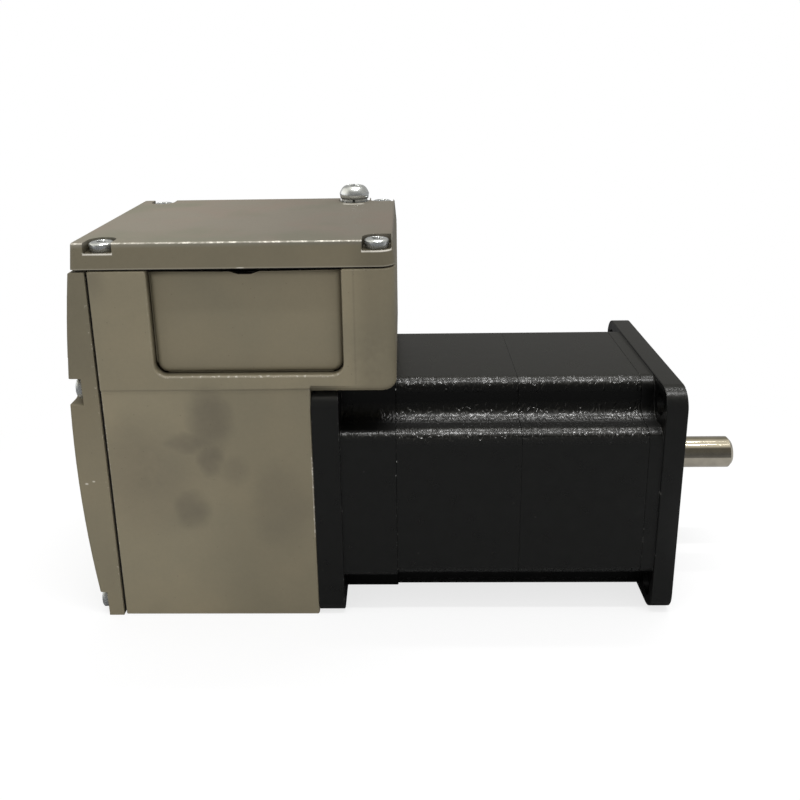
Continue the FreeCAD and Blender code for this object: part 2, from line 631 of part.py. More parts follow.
def stator_insulators():
    """Insulating end plates between the stack and the end turns."""
    plates = Body("stator_insulators", solids_apart=True)
    slots = []
    for station in (BELL_BACK, STACK_BACK + " - insulator_thickness"):
        outline = circle(plates.sketch("YZ", x=station), INSULATOR_RADIUS)
        plates.pad(circle(outline, STACK_RADIUS + " + tooth_depth"), "insulator_thickness")
        slot = coil_slot(plates.sketch("YZ", x=station, turn=HALF_POLE), INSULATOR_FLOOR)
        slots.append(plates.pocket(slot, "insulator_thickness", ahead=True))
    plates.polar(slots, "pole_count")


def stator_coils():
    """One winding round each pole, all alike."""
    coils = Body("stator_coils", solids_apart=True)
    sketch = coils.sketch("XY", z=STACK_RADIUS + " + coil_bottom")
    reach = "insulator_thickness + fit_clearance"
    half = "pole_width / 2 + coil_slack"
    rectangle(sketch, STACK_BACK + " - coil_overhang", BELL_BACK + " + coil_overhang",
              minus(COIL_HALF), COIL_HALF)
    rectangle(sketch, STACK_BACK + minus(reach), BELL_BACK + " + " + reach, minus(half), half)
    winding = coils.pad(sketch, "coil_height")
    coils.polar([winding], "pole_count")


def rear_end_bell():
    bell = Body("rear_end_bell")
    motor_section(bell, REAR_STEP, "rear_bell_length", "rear_lip_fillet")
    flange(bell, REAR_FACE, "rear_flange_thickness", "rear_flange_corner", HALF_WIDE, "housing_drop")
    bell.pocket(circle(bell.sketch("YZ", x=STACK_BACK), BEARING_SEAT),
                "%s - %s" % (STACK_BACK, REAR_SEAT_FLOOR))
    bell.pocket(circle(bell.sketch("YZ", x=REAR_SEAT_FLOOR), "shaft_diameter / 2 + shaft_room"),
                "%s - %s" % (REAR_SEAT_FLOOR, REAR_FACE))
    bell.pocket(circle(bell.sketch("YZ", x=REAR_FACE), "pickup_radius"), "pickup_recess", ahead=True)
    coil_chamber(bell, STACK_BACK, "coil_overhang + coil_room", False)
    through = "%s - %s" % (STACK_BACK, REAR_FACE)
    bell.pocket(circles(bell.sketch("YZ", x=STACK_BACK), "tie_diameter / 2 + screw_play", TIE_SPOTS), through)
    bell.pocket(circles(bell.sketch("YZ", x=REAR_FACE), "screw_head / 2 + screw_play", TIE_SPOTS),
                "screw_head_height", ahead=True)
    bell.pocket(circles(bell.sketch("YZ", x=REAR_FACE), "screw_diameter / 2 + thread_clearance", JOINT_SPOTS),
                "joint_screw_length", ahead=True)
    bell.pocket(circle(bell.sketch("YZ", x=REAR_FACE), "grommet_radius + fit_clearance", up="lead_height"),
                "grommet_length", ahead=True)
    leads = [(y, "lead_height") for y in LEAD_SPOTS]
    bell.pocket(circles(bell.sketch("YZ", x=REAR_FACE), "lead_diameter / 2 + screw_play / 2", leads),
                "%s - %s - coil_overhang" % (STACK_BACK, REAR_FACE), ahead=True)


def rotor_shaft():
    shaft = Body("rotor_shaft")
    journal = "shaft_diameter / 2"
    seat = "shaft_seat / 2"
    tail = "tail_diameter / 2"
    relief = journal + " - shaft_relief"
    relief_end = "pilot_height - shaft_relief_width"
    outline = [("shaft_reach", "0"), ("shaft_reach", journal + " - shaft_chamfer"),
               ("shaft_reach - shaft_chamfer", journal), ("pilot_height", journal), ("pilot_height", relief),
               (relief_end, relief), (relief_end, journal), (FRONT_RING_BACK, journal),
               (FRONT_RING_BACK, seat), (REAR_RING_FACE, seat), (REAR_RING_FACE, journal),
               (HUB_FRONT, journal), (HUB_FRONT, tail), (TAIL_END, tail), (TAIL_END, "0")]
    shaft.revolve(polygon(shaft.sketch("XZ"), outline), "H_Axis")


def rotor_stacks():
    """Toothed stacks in pairs about their magnets, one of each pair half a tooth ahead."""
    section = "(2 * rotor_stack_length + magnet_thickness)"
    magnets = []
    for index in range(int(number("section_count"))):
        share = "(2 * stack_length / section_count)"
        middle = "(%s - (%d + 0.5) * %s)" % (BELL_BACK, index, share)
        fronts = ("%s + %s / 2" % (middle, section), "%s - magnet_thickness / 2" % middle)
        for half, front in enumerate(fronts):
            back = "%s - rotor_stack_length" % front
            stack = Body("rotor_stack_%d" % (2 * index + half + 1))
            outline = circle(stack.sketch("YZ", x=back), ROTOR_RADIUS)
            stack.pad(circle(outline, "shaft_seat / 2 + fit_clearance"), "rotor_stack_length")
            ahead = "%d * %s / 2" % (half, TOOTH_PITCH) if half else "0"
            gap = rectangle(stack.sketch("YZ", x=back, turn=ahead), ROTOR_RADIUS + " - tooth_depth",
                            ROTOR_RADIUS + " + tooth_depth", "-tooth_gap / 2", "tooth_gap / 2")
            stack.polar([stack.pocket(gap, "rotor_stack_length", ahead=True)], "tooth_count")
        ends = ("%s + magnet_thickness / 2" % middle, "%s - magnet_thickness / 2" % middle)
        magnets.append(ring(ROTOR_RADIUS + " - tooth_depth - magnet_setback",
                            "shaft_seat / 2 + fit_clearance", *ends))
    together("rotor_magnets", magnets)


def ball_bearing(name, front, back):
    """Deep groove bearing: two rings, the balls and a cage that spaces them."""
    middle = "((%s) + (%s)) / 2" % (front, back)

    def race():
        groove = doc.addObject("Part::Torus", name + "_race")
        groove.setExpression("Radius1", bind("ball_circle / 2"))
        groove.setExpression("Radius2", bind("ball_diameter / 2 + race_clearance"))
        groove.Placement = Placement(Vector(), Rotation(Vector(0, 1, 0), 90))
        groove.setExpression("Placement.Base.x", bind(middle))
        return groove

    def balls(radius):
        items = []
        for index in range(int(number("ball_count"))):
            ball = doc.addObject("Part::Sphere", name + "_ball")
            ball.setExpression("Radius", bind(radius))
            y, z = spun("ball_circle / 2", "0", "%d * 360 / ball_count" % index)
            for axis, place in zip("xyz", (middle, y, z)):
                ball.setExpression("Placement.Base." + axis, bind(place))
            items.append(ball)
        return items

    outer = cut(rod("bearing_diameter / 2", front, back),
                [rod("ball_circle / 2 + race_shoulder", front, back), race()])
    keep(outer, name + "_outer_ring")
    inner = cut(rod("ball_circle / 2 - race_shoulder", front, back),
                [rod("shaft_diameter / 2 + fit_clearance", front, back), race()])
    keep(inner, name + "_inner_ring")
    together(name + "_balls", balls("ball_diameter / 2"))
    near = "%s + cage_width / 2" % middle
    far = "%s - cage_width / 2" % middle
    cage = cut(rod("(ball_circle + cage_thickness) / 2", near, far),
               [rod("(ball_circle - cage_thickness) / 2", near, far)]
               + balls("ball_diameter / 2 + cage_clearance"))
    keep(cage, name + "_cage")


def preload_washer():
    """Coned spring washer that loads the rear bearing."""
    washer = Body("preload_washer")
    inner = "ball_circle / 2 + race_shoulder"
    outer = "bearing_diameter / 2 - fit_clearance"
    outline = [(REAR_RING_BACK, outer), (REAR_RING_BACK + " - preload_thickness", outer),
               (REAR_SEAT_FLOOR, inner), (REAR_SEAT_FLOOR + " + preload_thickness", inner)]
    washer.revolve(polygon(washer.sketch("XZ"), outline), "H_Axis")


def magnet_hub():
    tail = rod("tail_diameter / 2 + fit_clearance", HUB_FRONT, TAIL_END)
    seat = rod("tail_diameter / 2 + fit_clearance", MAGNET_FACE, HUB_BACK)
    keep(cut(rod("hub_radius", HUB_FRONT, HUB_BACK), [tail, seat]), "magnet_hub")
    keep(rod("tail_diameter / 2", MAGNET_FACE, HUB_BACK), "position_magnet")


def phase_leads():
    back = STACK_BACK + " - coil_overhang"
    leads = [rod("lead_diameter / 2", back, POWER_FRONT, y, "lead_height") for y in LEAD_SPOTS]
    together("phase_leads", leads)
    front = REAR_FACE + " + grommet_length"
    holes = [rod("lead_diameter / 2 + fit_clearance", front, REAR_FACE, y, "lead_height") for y in LEAD_SPOTS]
    keep(cut(rod("grommet_radius", front, REAR_FACE, "0", "lead_height"), holes), "lead_grommet")


def cavity_outline(sketch, front, rear):
    """Plan of the connector compartment: a rectangle with a block in each corner for the lid screws."""
    front_block = LID_SCREW_FRONT + " - screw_block"
    rear_block = LID_SCREW_REAR + " + screw_block"
    half = [(front, BLOCK_SIDE), (front_block, BLOCK_SIDE), (front_block, INNER_SIDE),
            (rear_block, INNER_SIDE), (rear_block, BLOCK_SIDE), (rear, BLOCK_SIDE)]
    return polygon(sketch, half + [(x, minus(y)) for x, y in reversed(half)])


def electronics_housing():
    housing = Body("electronics_housing")
    drop = "(-housing_drop)"
    profile = [(REAR_FACE, drop), (REAR_FACE, OVERHANG_LEVEL), (NOSE, OVERHANG_LEVEL),
               (NOSE, HOUSING_TOP), (HOUSING_REAR, HOUSING_TOP), (HOUSING_REAR, drop)]
    housing.pad(polygon(housing.sketch("XZ"), profile), WIDE, both=True)
    side = number(HALF_WIDE)
    nose = [number(NOSE)]
    housing.fillet(housing.edges("z", x=nose, y=[side, -side]), "nose_corner")
    housing.fillet(housing.edges("y", x=nose, z=[number(OVERHANG_LEVEL)]), "nose_edge")
    for away in SIDES:
        skin = housing.sketch("XZ", y="%d * %s" % (away, HALF_WIDE))
        rectangle(skin, HOUSING_REAR, REAR_FACE, drop, "machined_height")
        housing.pocket(skin, "machined_step", ahead=away > 0)
    lower_block = "(-cover_screw_lower + screw_block)"
    half = [(INNER_SIDE, CEILING_LEVEL), (INNER_SIDE, lower_block), (BLOCK_SIDE, lower_block),
            (BLOCK_SIDE, "-housing_drop + housing_wall")]
    chamber = polygon(housing.sketch("YZ", x=HOUSING_REAR), half + [(minus(y), z) for y, z in reversed(half)])
    housing.pocket(chamber, "housing_depth - housing_wall", ahead=True)
    housing.pocket(cavity_outline(housing.sketch("XY", z=HOUSING_TOP), CAVITY_FRONT, CAVITY_REAR),
                   "%s - %s" % (HOUSING_TOP, FLOOR_LEVEL))
    opening = housing.sketch("XZ")
    rectangle(opening, OPENING_REAR, OPENING_FRONT, INSERT_SILL, HOUSING_TOP + " + housing_wall")
    housing.pocket(opening, WIDE + " + 2 * housing_wall", both=True)
    ends = [number(OPENING_FRONT), number(OPENING_REAR)]
    housing.fillet(housing.edges("y", x=ends, z=[number(INSERT_SILL)]), "insert_corner")
    passage = housing.sketch("XY", z=FLOOR_LEVEL)
    rectangle(passage, HOUSING_REAR + " + passage_back", HOUSING_REAR + " + passage_back + passage_length",
              "-passage_width / 2", "passage_width / 2")
    housing.pocket(passage, "deck_thickness")
    front = housing.sketch("YZ", x=REAR_FACE)
    circle(front, "pickup_radius")
    circles(front, "screw_diameter / 2 + screw_play", JOINT_SPOTS)
    circle(front, "grommet_radius + fit_clearance", up="lead_height")
    housing.pocket(front, "housing_wall")
    tapped = "screw_diameter / 2 + thread_clearance"
    housing.pocket(circles(housing.sketch("XY", z=HOUSING_TOP), tapped, LID_SPOTS), "screw_length")
    housing.pocket(circles(housing.sketch("YZ", x=HOUSING_REAR), tapped, COVER_SPOTS),
                   "screw_length", ahead=True)
    board_tapped = "board_screw / 2 + thread_clearance"
    housing.pocket(circles(housing.sketch("YZ", x=WALL_BACK), board_tapped, SPACER_SPOTS),
                   "board_screw_bite", ahead=True)
    housing.pocket(circles(housing.sketch("XY", z=FLOOR_LEVEL), board_tapped, post_spots()),
                   "board_screw_bite")


def connector_lid():
    lid = Body("connector_lid")
    half = HALF_WIDE
    lid.pad(rectangle(lid.sketch("XY", z=LID_BASE), LID_REAR, NOSE, minus(half), half), "lid_height",
            TaperAngle="-lid_draft")
    lean = number("lid_height * tan(lid_draft) / 2")
    side = number(half) - lean
    lid.fillet(lid.edges("z", x=[number(NOSE) - lean], y=[side, -side]), "lid_front_corner")
    lid.fillet(lid.edges("z", x=[number(LID_REAR) + lean], y=[side, -side]), "lid_rear_corner")
    top = number(LID_TOP)
    rim = ["Edge%d" % index for index, edge in enumerate(lid.body.Tip.Shape.Edges, start=1)
           if abs(edge.BoundBox.ZMin - top) < 0.01]
    lid.fillet(rim, "lid_edge")
    lid.pocket(cavity_outline(lid.sketch("XY", z=LID_BASE), CAVITY_FRONT, CAVITY_REAR),
               "lid_hollow", ahead=True)
    lid.pad(circle(lid.sketch("XY", z=LID_BASE), "earth_boss", EARTH_X, EARTH_SIDE), "lid_hollow")
    pockets = lid.sketch("XY", z=LID_TOP)
    for x, y in LID_SPOTS:
        outward = 1 if number(y) > 0 else -1
        reach = ("%s - %d * lid_pocket_end" % (y, outward), "%d * %s" % (outward, WIDE))
        rectangle(pockets, *centred(x, "lid_pocket_width"), *reach[::outward])
    lid.pocket(pockets, "lid_pocket_depth")
    ends = [number("%s - lid_pocket_width / 2" % x) for x in (LID_SCREW_FRONT, LID_SCREW_REAR)]
    ends.append(number("%s + lid_pocket_width / 2" % LID_SCREW_REAR))
    inner = number("%s - lid_pocket_end" % SCREW_SIDE)
    lid.fillet(lid.edges("z", x=ends, y=[inner, -inner]), "lid_pocket_corner")
    earth = lid.sketch("XY", z=LID_TOP)
    earth_end = EARTH_SIDE + " - earth_pocket_end"
    rectangle(earth, *centred(EARTH_X, "2 * earth_pocket_half"), earth_end, WIDE)
    lid.pocket(earth, "earth_pocket_depth")
    ends = [number("%s + %d * earth_pocket_half" % (EARTH_X, side)) for side in SIDES]
    lid.fillet(lid.edges("z", x=ends, y=[number(earth_end)]), "earth_pocket_corner")
    holes = circles(lid.sketch("XY", z=LID_TOP), "screw_diameter / 2 + screw_play", LID_SPOTS)
    lid.pocket(circle(holes, "earth_diameter / 2 + thread_clearance", EARTH_X, EARTH_SIDE), "lid_height")


def lid_gasket():
    gasket = Body("lid_gasket")
    half = "(%s - gasket_inset)" % HALF_WIDE
    front = NOSE + " - gasket_inset"
    outline = rectangle(gasket.sketch("XY", z=HOUSING_TOP), HOUSING_REAR + " + gasket_inset", front,
                        minus(half), half)
    gasket.pad(outline, "lid_gasket")
    side = number(half)
    gasket.fillet(gasket.edges("z", x=[number(front)], y=[side, -side]), "nose_corner - gasket_inset")
    gasket.pocket(cavity_outline(gasket.sketch("XY", z=HOUSING_TOP), CAVITY_FRONT, CAVITY_REAR),
                  "lid_gasket", ahead=True)
    gasket.pocket(circles(gasket.sketch("XY", z=HOUSING_TOP), "screw_diameter / 2 + screw_play", LID_SPOTS),
                  "lid_gasket", ahead=True)


def rear_cover():
    """Cover with a bowed back and screw pockets that open to its sides."""
    cover = Body("rear_cover")
    sketch = cover.sketch("XZ")
    corners = [(COVER_FACE + " - cover_foot", "-housing_drop"), (COVER_FACE, "-housing_drop"),
               (COVER_FACE, "cover_height"), (COVER_FACE + " - cover_head", "cover_height")]
    spots = [Vector(number(x), number(z), 0) for x, z in corners]
    for start, end in zip(spots, spots[1:]):
        sketch.addGeometry(Part.LineSegment(start, end), False)
    for line in range(3):
        hold(sketch, line, 1, *corners[line])
    hold(sketch, 2, 2, *corners[3])
    for line in range(2):
        sketch.addConstraint(Sketcher.Constraint("Coincident", line, 2, line + 1, 1))
    foot, head = spots[0], spots[3]
    chord = head - foot
    radius = number("cover_bow")
    rise = radius - (radius ** 2 - (chord.Length / 2) ** 2) ** 0.5
    crown = (foot + head) / 2 + Vector(-chord.y, chord.x, 0).normalize() * rise
    bow = sketch.addGeometry(Part.Arc(head, crown, foot), False)
    for end in (1, 2):
        spot = sketch.getPoint(bow, end)
        at_head = spot.distanceToPoint(head) < spot.distanceToPoint(foot)
        sketch.addConstraint(Sketcher.Constraint("Coincident", bow, end, *((2, 2) if at_head else (0, 1))))
    index = sketch.addConstraint(Sketcher.Constraint("Radius", bow, radius))
    sketch.setExpression("Constraints[%d]" % index, bind("cover_bow"))
    cover.pad(sketch, WIDE, both=True)
    face = number(COVER_FACE)
    outside = ["Edge%d" % index for index, edge in enumerate(cover.body.Tip.Shape.Edges, start=1)
               if edge.BoundBox.XMax < face - 1]
    cover.fillet(outside, "cover_edge")
    hollow = cover.sketch("YZ", x=COVER_FACE)
    rectangle(hollow, minus(BLOCK_SIDE), BLOCK_SIDE, "-cover_screw_lower + screw_block",
              "cover_screw_upper - screw_block")
    cover.pocket(hollow, "cover_hollow")
    pockets = cover.sketch("YZ", x=COVER_FACE + " - cover_floor")
    for y, z in COVER_SPOTS:
        outward = 1 if number(y) > 0 else -1
        reach = ("%s - %d * cover_pocket_end" % (y, outward), "%d * %s" % (outward, WIDE))
        low = z + " - cover_pocket_half" if number(z) > 0 else "-housing_drop - cover_pocket_half"
        rectangle(pockets, *reach[::outward], low, z + " + cover_pocket_half")
    cover.pocket(pockets, "cover_bow")
    inner = number("%s - cover_pocket_end" % SCREW_SIDE)
    ends = [number("%s + cover_pocket_half" % z) for y, z in COVER_SPOTS]
    ends.append(number("cover_screw_upper - cover_pocket_half"))
    cover.fillet(cover.edges("x", y=[inner, -inner], z=ends), "cover_pocket_corner")
    cover.pocket(circles(cover.sketch("YZ", x=COVER_FACE), "screw_diameter / 2 + screw_play", COVER_SPOTS),
                 "cover_floor")


def cover_gasket():
    gasket = Body("cover_gasket")
    half = "(%s - gasket_inset)" % HALF_WIDE
    sketch = gasket.sketch("YZ", x=COVER_FACE)
    rectangle(sketch, minus(half), half, "-housing_drop + gasket_inset", "cover_height - gasket_inset")
    rectangle(sketch, minus(BLOCK_SIDE), BLOCK_SIDE, "-cover_screw_lower + screw_block",
              "cover_screw_upper - screw_block")
    gasket.pad(sketch, "cover_gasket")
    gasket.pocket(circles(gasket.sketch("YZ", x=COVER_FACE), "screw_diameter / 2 + screw_play", COVER_SPOTS),
                  "cover_gasket", ahead=True)


def side_inserts():
    """Sealing inserts that slide down into the side openings, and the seals behind their lips."""
    rear = OPENING_REAR + " + insert_clearance"
    front = OPENING_FRONT + " - insert_clearance"
    sill = INSERT_SILL + " + insert_clearance"
    top = "(%s - insert_headroom)" % HOUSING_TOP
    floor = "%s - insert_notch_depth" % top
    notch = centred("(%s + %s) / 2" % (OPENING_REAR, OPENING_FRONT), "insert_notch_width")
    outline = [(rear, sill), (front, sill), (front, top), (notch[1], top), (notch[1], floor),
               (notch[0], floor), (notch[0], top), (rear, top)]
    lip_rear = OPENING_REAR + " - insert_lip"
    lip_front = OPENING_FRONT + " + insert_lip"
    lip_low = INSERT_SILL + " - insert_lip"
    seal_outline = [(lip_rear, floor), (lip_rear, lip_low), (lip_front, lip_low), (lip_front, floor),
                    (OPENING_FRONT, floor), (OPENING_FRONT, INSERT_SILL), (OPENING_REAR, INSERT_SILL),
                    (OPENING_REAR, floor)]
    seals = Body("insert_seals", solids_apart=True)
    for name, outward in (("left_insert", 1), ("right_insert", -1)):
        insert = Body(name)
        face = insert.sketch("XZ", y="%d * (%s - insert_setback)" % (outward, HALF_WIDE))
        depth = "housing_wall + seal_thickness + insert_lip_thickness - insert_setback"
        insert.pad(polygon(face, outline), depth, back=outward < 0)
        ends = [number(rear), number(front)]
        insert.fillet(insert.edges("y", x=ends, z=[number(sill)]), "insert_corner")
        lip = insert.sketch("XZ", y="%d * (%s - seal_thickness)" % (outward, INNER_SIDE))
        rectangle(lip, lip_rear, lip_front, lip_low, floor)
        insert.pad(lip, "insert_lip_thickness", back=outward < 0)
        seal = seals.sketch("XZ", y="%d * %s" % (outward, INNER_SIDE))
        seals.pad(polygon(seal, seal_outline), "seal_thickness", back=outward < 0)


def head_outline(radius, height, shank, length):
    """Pan head screw as (along, radius) pairs from its tip to the top of its head."""
    return [(minus(length), "0"), (minus(length), shank), ("0", shank), ("0", radius),
            ("0.55 * (%s)" % height, radius), (height, "0.62 * (%s)" % radius), (height, "0")]


def screws(group, spots, axis, head, height, diameter, length):
    """Screws that seat at the given places, with their heads towards the axis named."""
    outline = head_outline("%s / 2" % head, height, "%s / 2" % diameter, length)
    for x, y, z in spots:
        sketch = group.sketch("XZ", x=x, y=y, z=z)
        if axis == "+Z":
            group.revolve(polygon(sketch, [(radius, along) for along, radius in outline]), "V_Axis")
        else:
            group.revolve(polygon(sketch, [(minus(along), radius) for along, radius in outline]), "H_Axis")


def post_spots():
    """Connector board posts, as (x, y) pairs."""
    ends = (CONNECTOR_BOARD_FRONT + " - post_inset", CONNECTOR_BOARD_REAR + " + post_inset")
    return [(x, "%d * %s" % (y, POST_SIDE)) for x in ends for y in SIDES]


def fasteners():
    cover_screw = ("screw_head", "screw_head_height", "screw_diameter")
    lid_seat = LID_TOP + " - lid_pocket_depth"
    screws(Body("lid_screws", True), [(x, y, lid_seat) for x, y in LID_SPOTS], "+Z", *cover_screw,
           "screw_length")
    seat = COVER_FACE + " - cover_floor"
    screws(Body("rear_cover_screws", True), [(seat, y, z) for y, z in COVER_SPOTS], "-X", *cover_screw,
           "screw_length")
    screws(Body("housing_screws", True), [(WALL_BACK, y, z) for y, z in JOINT_SPOTS], "-X", *cover_screw,
           "joint_screw_length")
    tie_seat = REAR_FACE + " + screw_head_height"
    screws(Body("tie_bolts", True), [(tie_seat, y, z) for y, z in TIE_SPOTS], "-X", "screw_head",
           "screw_head_height", "tie_diameter", "%s - (%s) + tie_engagement" % (BELL_BACK, tie_seat))
    stack = "tooth_washer + spring_washer"
    earth_floor = LID_TOP + " - earth_pocket_depth"
    screws(Body("earth_screw"), [(EARTH_X, EARTH_SIDE, "%s + %s" % (earth_floor, stack))], "+Z",
           "earth_head", "earth_head_height", "earth_diameter", "earth_length")
    tooth_top = earth_floor + " + tooth_washer"
    spring_top = tooth_top + " + spring_washer"
    bore = "earth_diameter / 2 + screw_play"
    slit = block(centred(EARTH_X, "washer_slit"), (EARTH_SIDE + " - spring_washer_diameter", EARTH_SIDE),
                 (tooth_top, spring_top))
    spring = post("spring_washer_diameter / 2", tooth_top, spring_top, EARTH_X, EARTH_SIDE)
    keep(cut(spring, [post(bore, tooth_top, spring_top, EARTH_X, EARTH_SIDE), slit]), "earth_spring_washer")
    gaps = [post(bore, earth_floor, tooth_top, EARTH_X, EARTH_SIDE)]
    for index in range(int(number("washer_teeth"))):
        x, y = spun("tooth_washer_diameter / 2", "0", "%d * 360 / washer_teeth" % index)
        gaps.append(post("tooth_washer_diameter / washer_teeth", earth_floor, tooth_top,
                         "%s + %s" % (EARTH_X, x), EARTH_SIDE + " + " + y))
    toothed = cut(post("tooth_washer_diameter / 2", earth_floor, tooth_top, EARTH_X, EARTH_SIDE), gaps)
    keep(toothed, "earth_tooth_washer")


def boards():
    bore = "board_screw / 2 + screw_play"
    lead_holes = [rod("lead_diameter / 4", POWER_FRONT, POWER_BACK, y, "lead_height") for y in LEAD_SPOTS]
    for label, front, back, more in (("power_board", POWER_FRONT, POWER_BACK, lead_holes),
                                     ("control_board", CONTROL_FRONT, CONTROL_BACK, [])):
        holes = [rod(bore, front, back, y, z) for y, z in SPACER_SPOTS]
        plate = block((back, front), (minus(BOARD_SIDE), BOARD_SIDE), ("-board_low", "board_high"))
        keep(cut(plate, holes + more), label)
    plate = block((CONNECTOR_BOARD_REAR, CONNECTOR_BOARD_FRONT),
                  (minus(CONNECTOR_BOARD_SIDE), CONNECTOR_BOARD_SIDE),
                  (CONNECTOR_BOARD_LEVEL, CONNECTOR_BOARD_TOP))
    holes = [post(bore, CONNECTOR_BOARD_LEVEL, CONNECTOR_BOARD_TOP, x, y) for x, y in post_spots()]
    keep(cut(plate, holes), "connector_board")
    sleeve = "spacer_diameter / 2"
    spacers = []
    for y, z in SPACER_SPOTS:
        for near, far in ((WALL_BACK, POWER_FRONT), (POWER_BACK, CONTROL_FRONT)):
            spacers.append(cut(rod(sleeve, near, far, y, z), [rod(bore, near, far, y, z)]))
    for x, y in post_spots():
        spacers.append(cut(post(sleeve, FLOOR_LEVEL, CONNECTOR_BOARD_LEVEL, x, y),
                           [post(bore, FLOOR_LEVEL, CONNECTOR_BOARD_LEVEL, x, y)]))
    together("board_spacers", spacers)
    head = ("board_screw_head", "board_screw", "board_screw")
    group = Body("board_screws", True)
    screws(group, [(CONTROL_BACK, y, z) for y, z in SPACER_SPOTS], "-X", *head,
           "%s - %s + board_screw_bite" % (WALL_BACK, CONTROL_BACK))
    screws(group, [(x, y, CONNECTOR_BOARD_TOP) for x, y in post_spots()], "+Z", *head,
           "board_thickness + connector_board_lift + board_screw_bite")


def board_parts():
    cans = Body("link_capacitors", solids_apart=True)
    for side in SIDES:
        can = cans.sketch("XZ", x=POWER_BACK, y="%d * capacitor_pitch / 2" % side, z="-capacitor_height")
        radius = "capacitor_diameter / 2"
        outline = [("0", "0"), ("0", radius), ("-capacitor_length + capacitor_edge", radius),
                   ("-capacitor_length", radius + " - capacitor_edge"), ("-capacitor_length", "0")]
        cans.revolve(polygon(can, outline), "H_Axis")
    row = []
    reach = "(%s - screw_head / 2 - transistor_gap)" % JOINT_SIDE
    pitch = "(2 * %s - transistor_width) / (transistor_count - 1)" % reach
    low = "-spacer_height + spacer_diameter / 2 + transistor_gap"
    for index in range(int(number("transistor_count"))):
        middle = "%s * (%d - (transistor_count - 1) / 2)" % (pitch, index)
        row.append(block((POWER_FRONT, POWER_FRONT + " + transistor_thickness"),
                         centred(middle, "transistor_width"), (low, low + " + transistor_height")))
    together("power_transistors", row)
    keep(block((POWER_FRONT, POWER_FRONT + " + sensor_thickness"), centred("0", "sensor_size"),
               centred("0", "sensor_size")), "position_sensor")
    keep(block((CONTROL_BACK + " - chip_thickness", CONTROL_BACK), centred("0", "chip_size"),
               centred("0", "chip_size")), "controller_chip")
    keep(block((CONTROL_BACK + " - link_thickness", CONTROL_BACK), centred("0", "link_width"),
               ("board_high - link_drop", CONNECTOR_BOARD_LEVEL)), "board_link")


def connectors():
    """Shrouded connectors in a row along the connector board, each with its pins."""
    front = CONNECTOR_BOARD_FRONT + " - 2 * post_inset"
    pins = []
    floor = CONNECTOR_BOARD_TOP + " + connector_wall"
    mouth = CONNECTOR_BOARD_TOP + " + connector_height"
    for name in ("supply", "signal", "bus"):
        back = front + " - connector_depth"
        width = name + "_width"
        shell = block((back, front), centred("0", width), (CONNECTOR_BOARD_TOP, mouth))
        room = block((back + " + connector_wall", front + " - connector_wall"),
                     centred("0", width + " - 2 * connector_wall"), (floor, mouth))
        keep(cut(shell, [room]), name + "_connector")
        pitch = "(%s - 2 * connector_wall) / %s_pins" % (width, name)
        for index in range(int(number(name + "_pins"))):
            across = "%s * (%d - (%s_pins - 1) / 2)" % (pitch, index, name)
            pins.append(block(centred("%s - connector_depth / 2" % front, "pin_side"),
                              centred(across, "pin_side"), (floor, floor + " + pin_height")))
        front = back + " - connector_gap"
    together("connector_pins", pins)
    return front


def slide_switches(front):
    """Bank of slide switches: a slotted body and sliders that move across it."""
    length = "((switch_count - 1) * switch_pitch + 2 * switch_margin)"
    plate = block((front + " - " + length, front), centred("0", "switch_width"),
                  (CONNECTOR_BOARD_TOP, SWITCH_TOP))
    slot_length = "slider_side + slider_travel + 2 * slider_clearance"
    slots = []
    for index in range(int(number("switch_count"))):
        middle = "%s - switch_margin - %d * switch_pitch" % (front, index)
        rest = "-slider_travel / 2"
        slots.append(block(centred(middle, "slider_side + 2 * slider_clearance"), centred("0", slot_length),
                           (SWITCH_TOP + " - slot_floor", SWITCH_TOP)))
        low = SWITCH_TOP + " - slot_floor + slider_clearance"
        slider = block(centred(middle, "slider_side"), centred(rest, "slider_side"),
                       (low, low + " + slider_height"))
        keep(slider, "switch_slider_%d" % (index + 1))
    keep(cut(plate, slots), "switch_body")


def export():
    """Check every object, then write one file for each sub-part."""
    doc.recompute()
    for item in doc.Objects:
        if "Invalid" in item.State or "Error" in item.State:
            raise RuntimeError("%s failed: %s" % (item.Name, item.State))
    for item in pieces:
        if item.Shape.isNull() or not item.Shape.isValid() or not item.Shape.Solids:
            raise RuntimeError("%s has no valid solid" % item.Label)
    os.makedirs("parts", exist_ok=True)
    for item in pieces:
        item.Shape.exportStep("parts/%s.step" % item.Label)
        print(item.Label, len(item.Shape.Solids), round(item.Shape.Volume, 2))


front_end_bell()
stator_stack("stator_stack_front", STACK_MIDDLE)
stator_stack("stator_stack_rear", STACK_BACK)
stator_insulators()
stator_coils()
rear_end_bell()
rotor_shaft()
rotor_stacks()
ball_bearing("front_bearing", FRONT_RING_FACE, FRONT_RING_BACK)
ball_bearing("rear_bearing", REAR_RING_FACE, REAR_RING_BACK)
preload_washer()
magnet_hub()
phase_leads()
electronics_housing()
connector_lid()
lid_gasket()
rear_cover()
cover_gasket()
side_inserts()
fasteners()
boards()
board_parts()
slide_switches(connectors())
export()
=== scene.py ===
"""Looks of an integrated stepper motor: a worn cast drive housing on a black motor, with bright screws."""

import math
from collections import namedtuple

import bmesh
import bpy
from bpy.props import FloatProperty, FloatVectorProperty, IntProperty, PointerProperty
from mathutils import Matrix, Vector


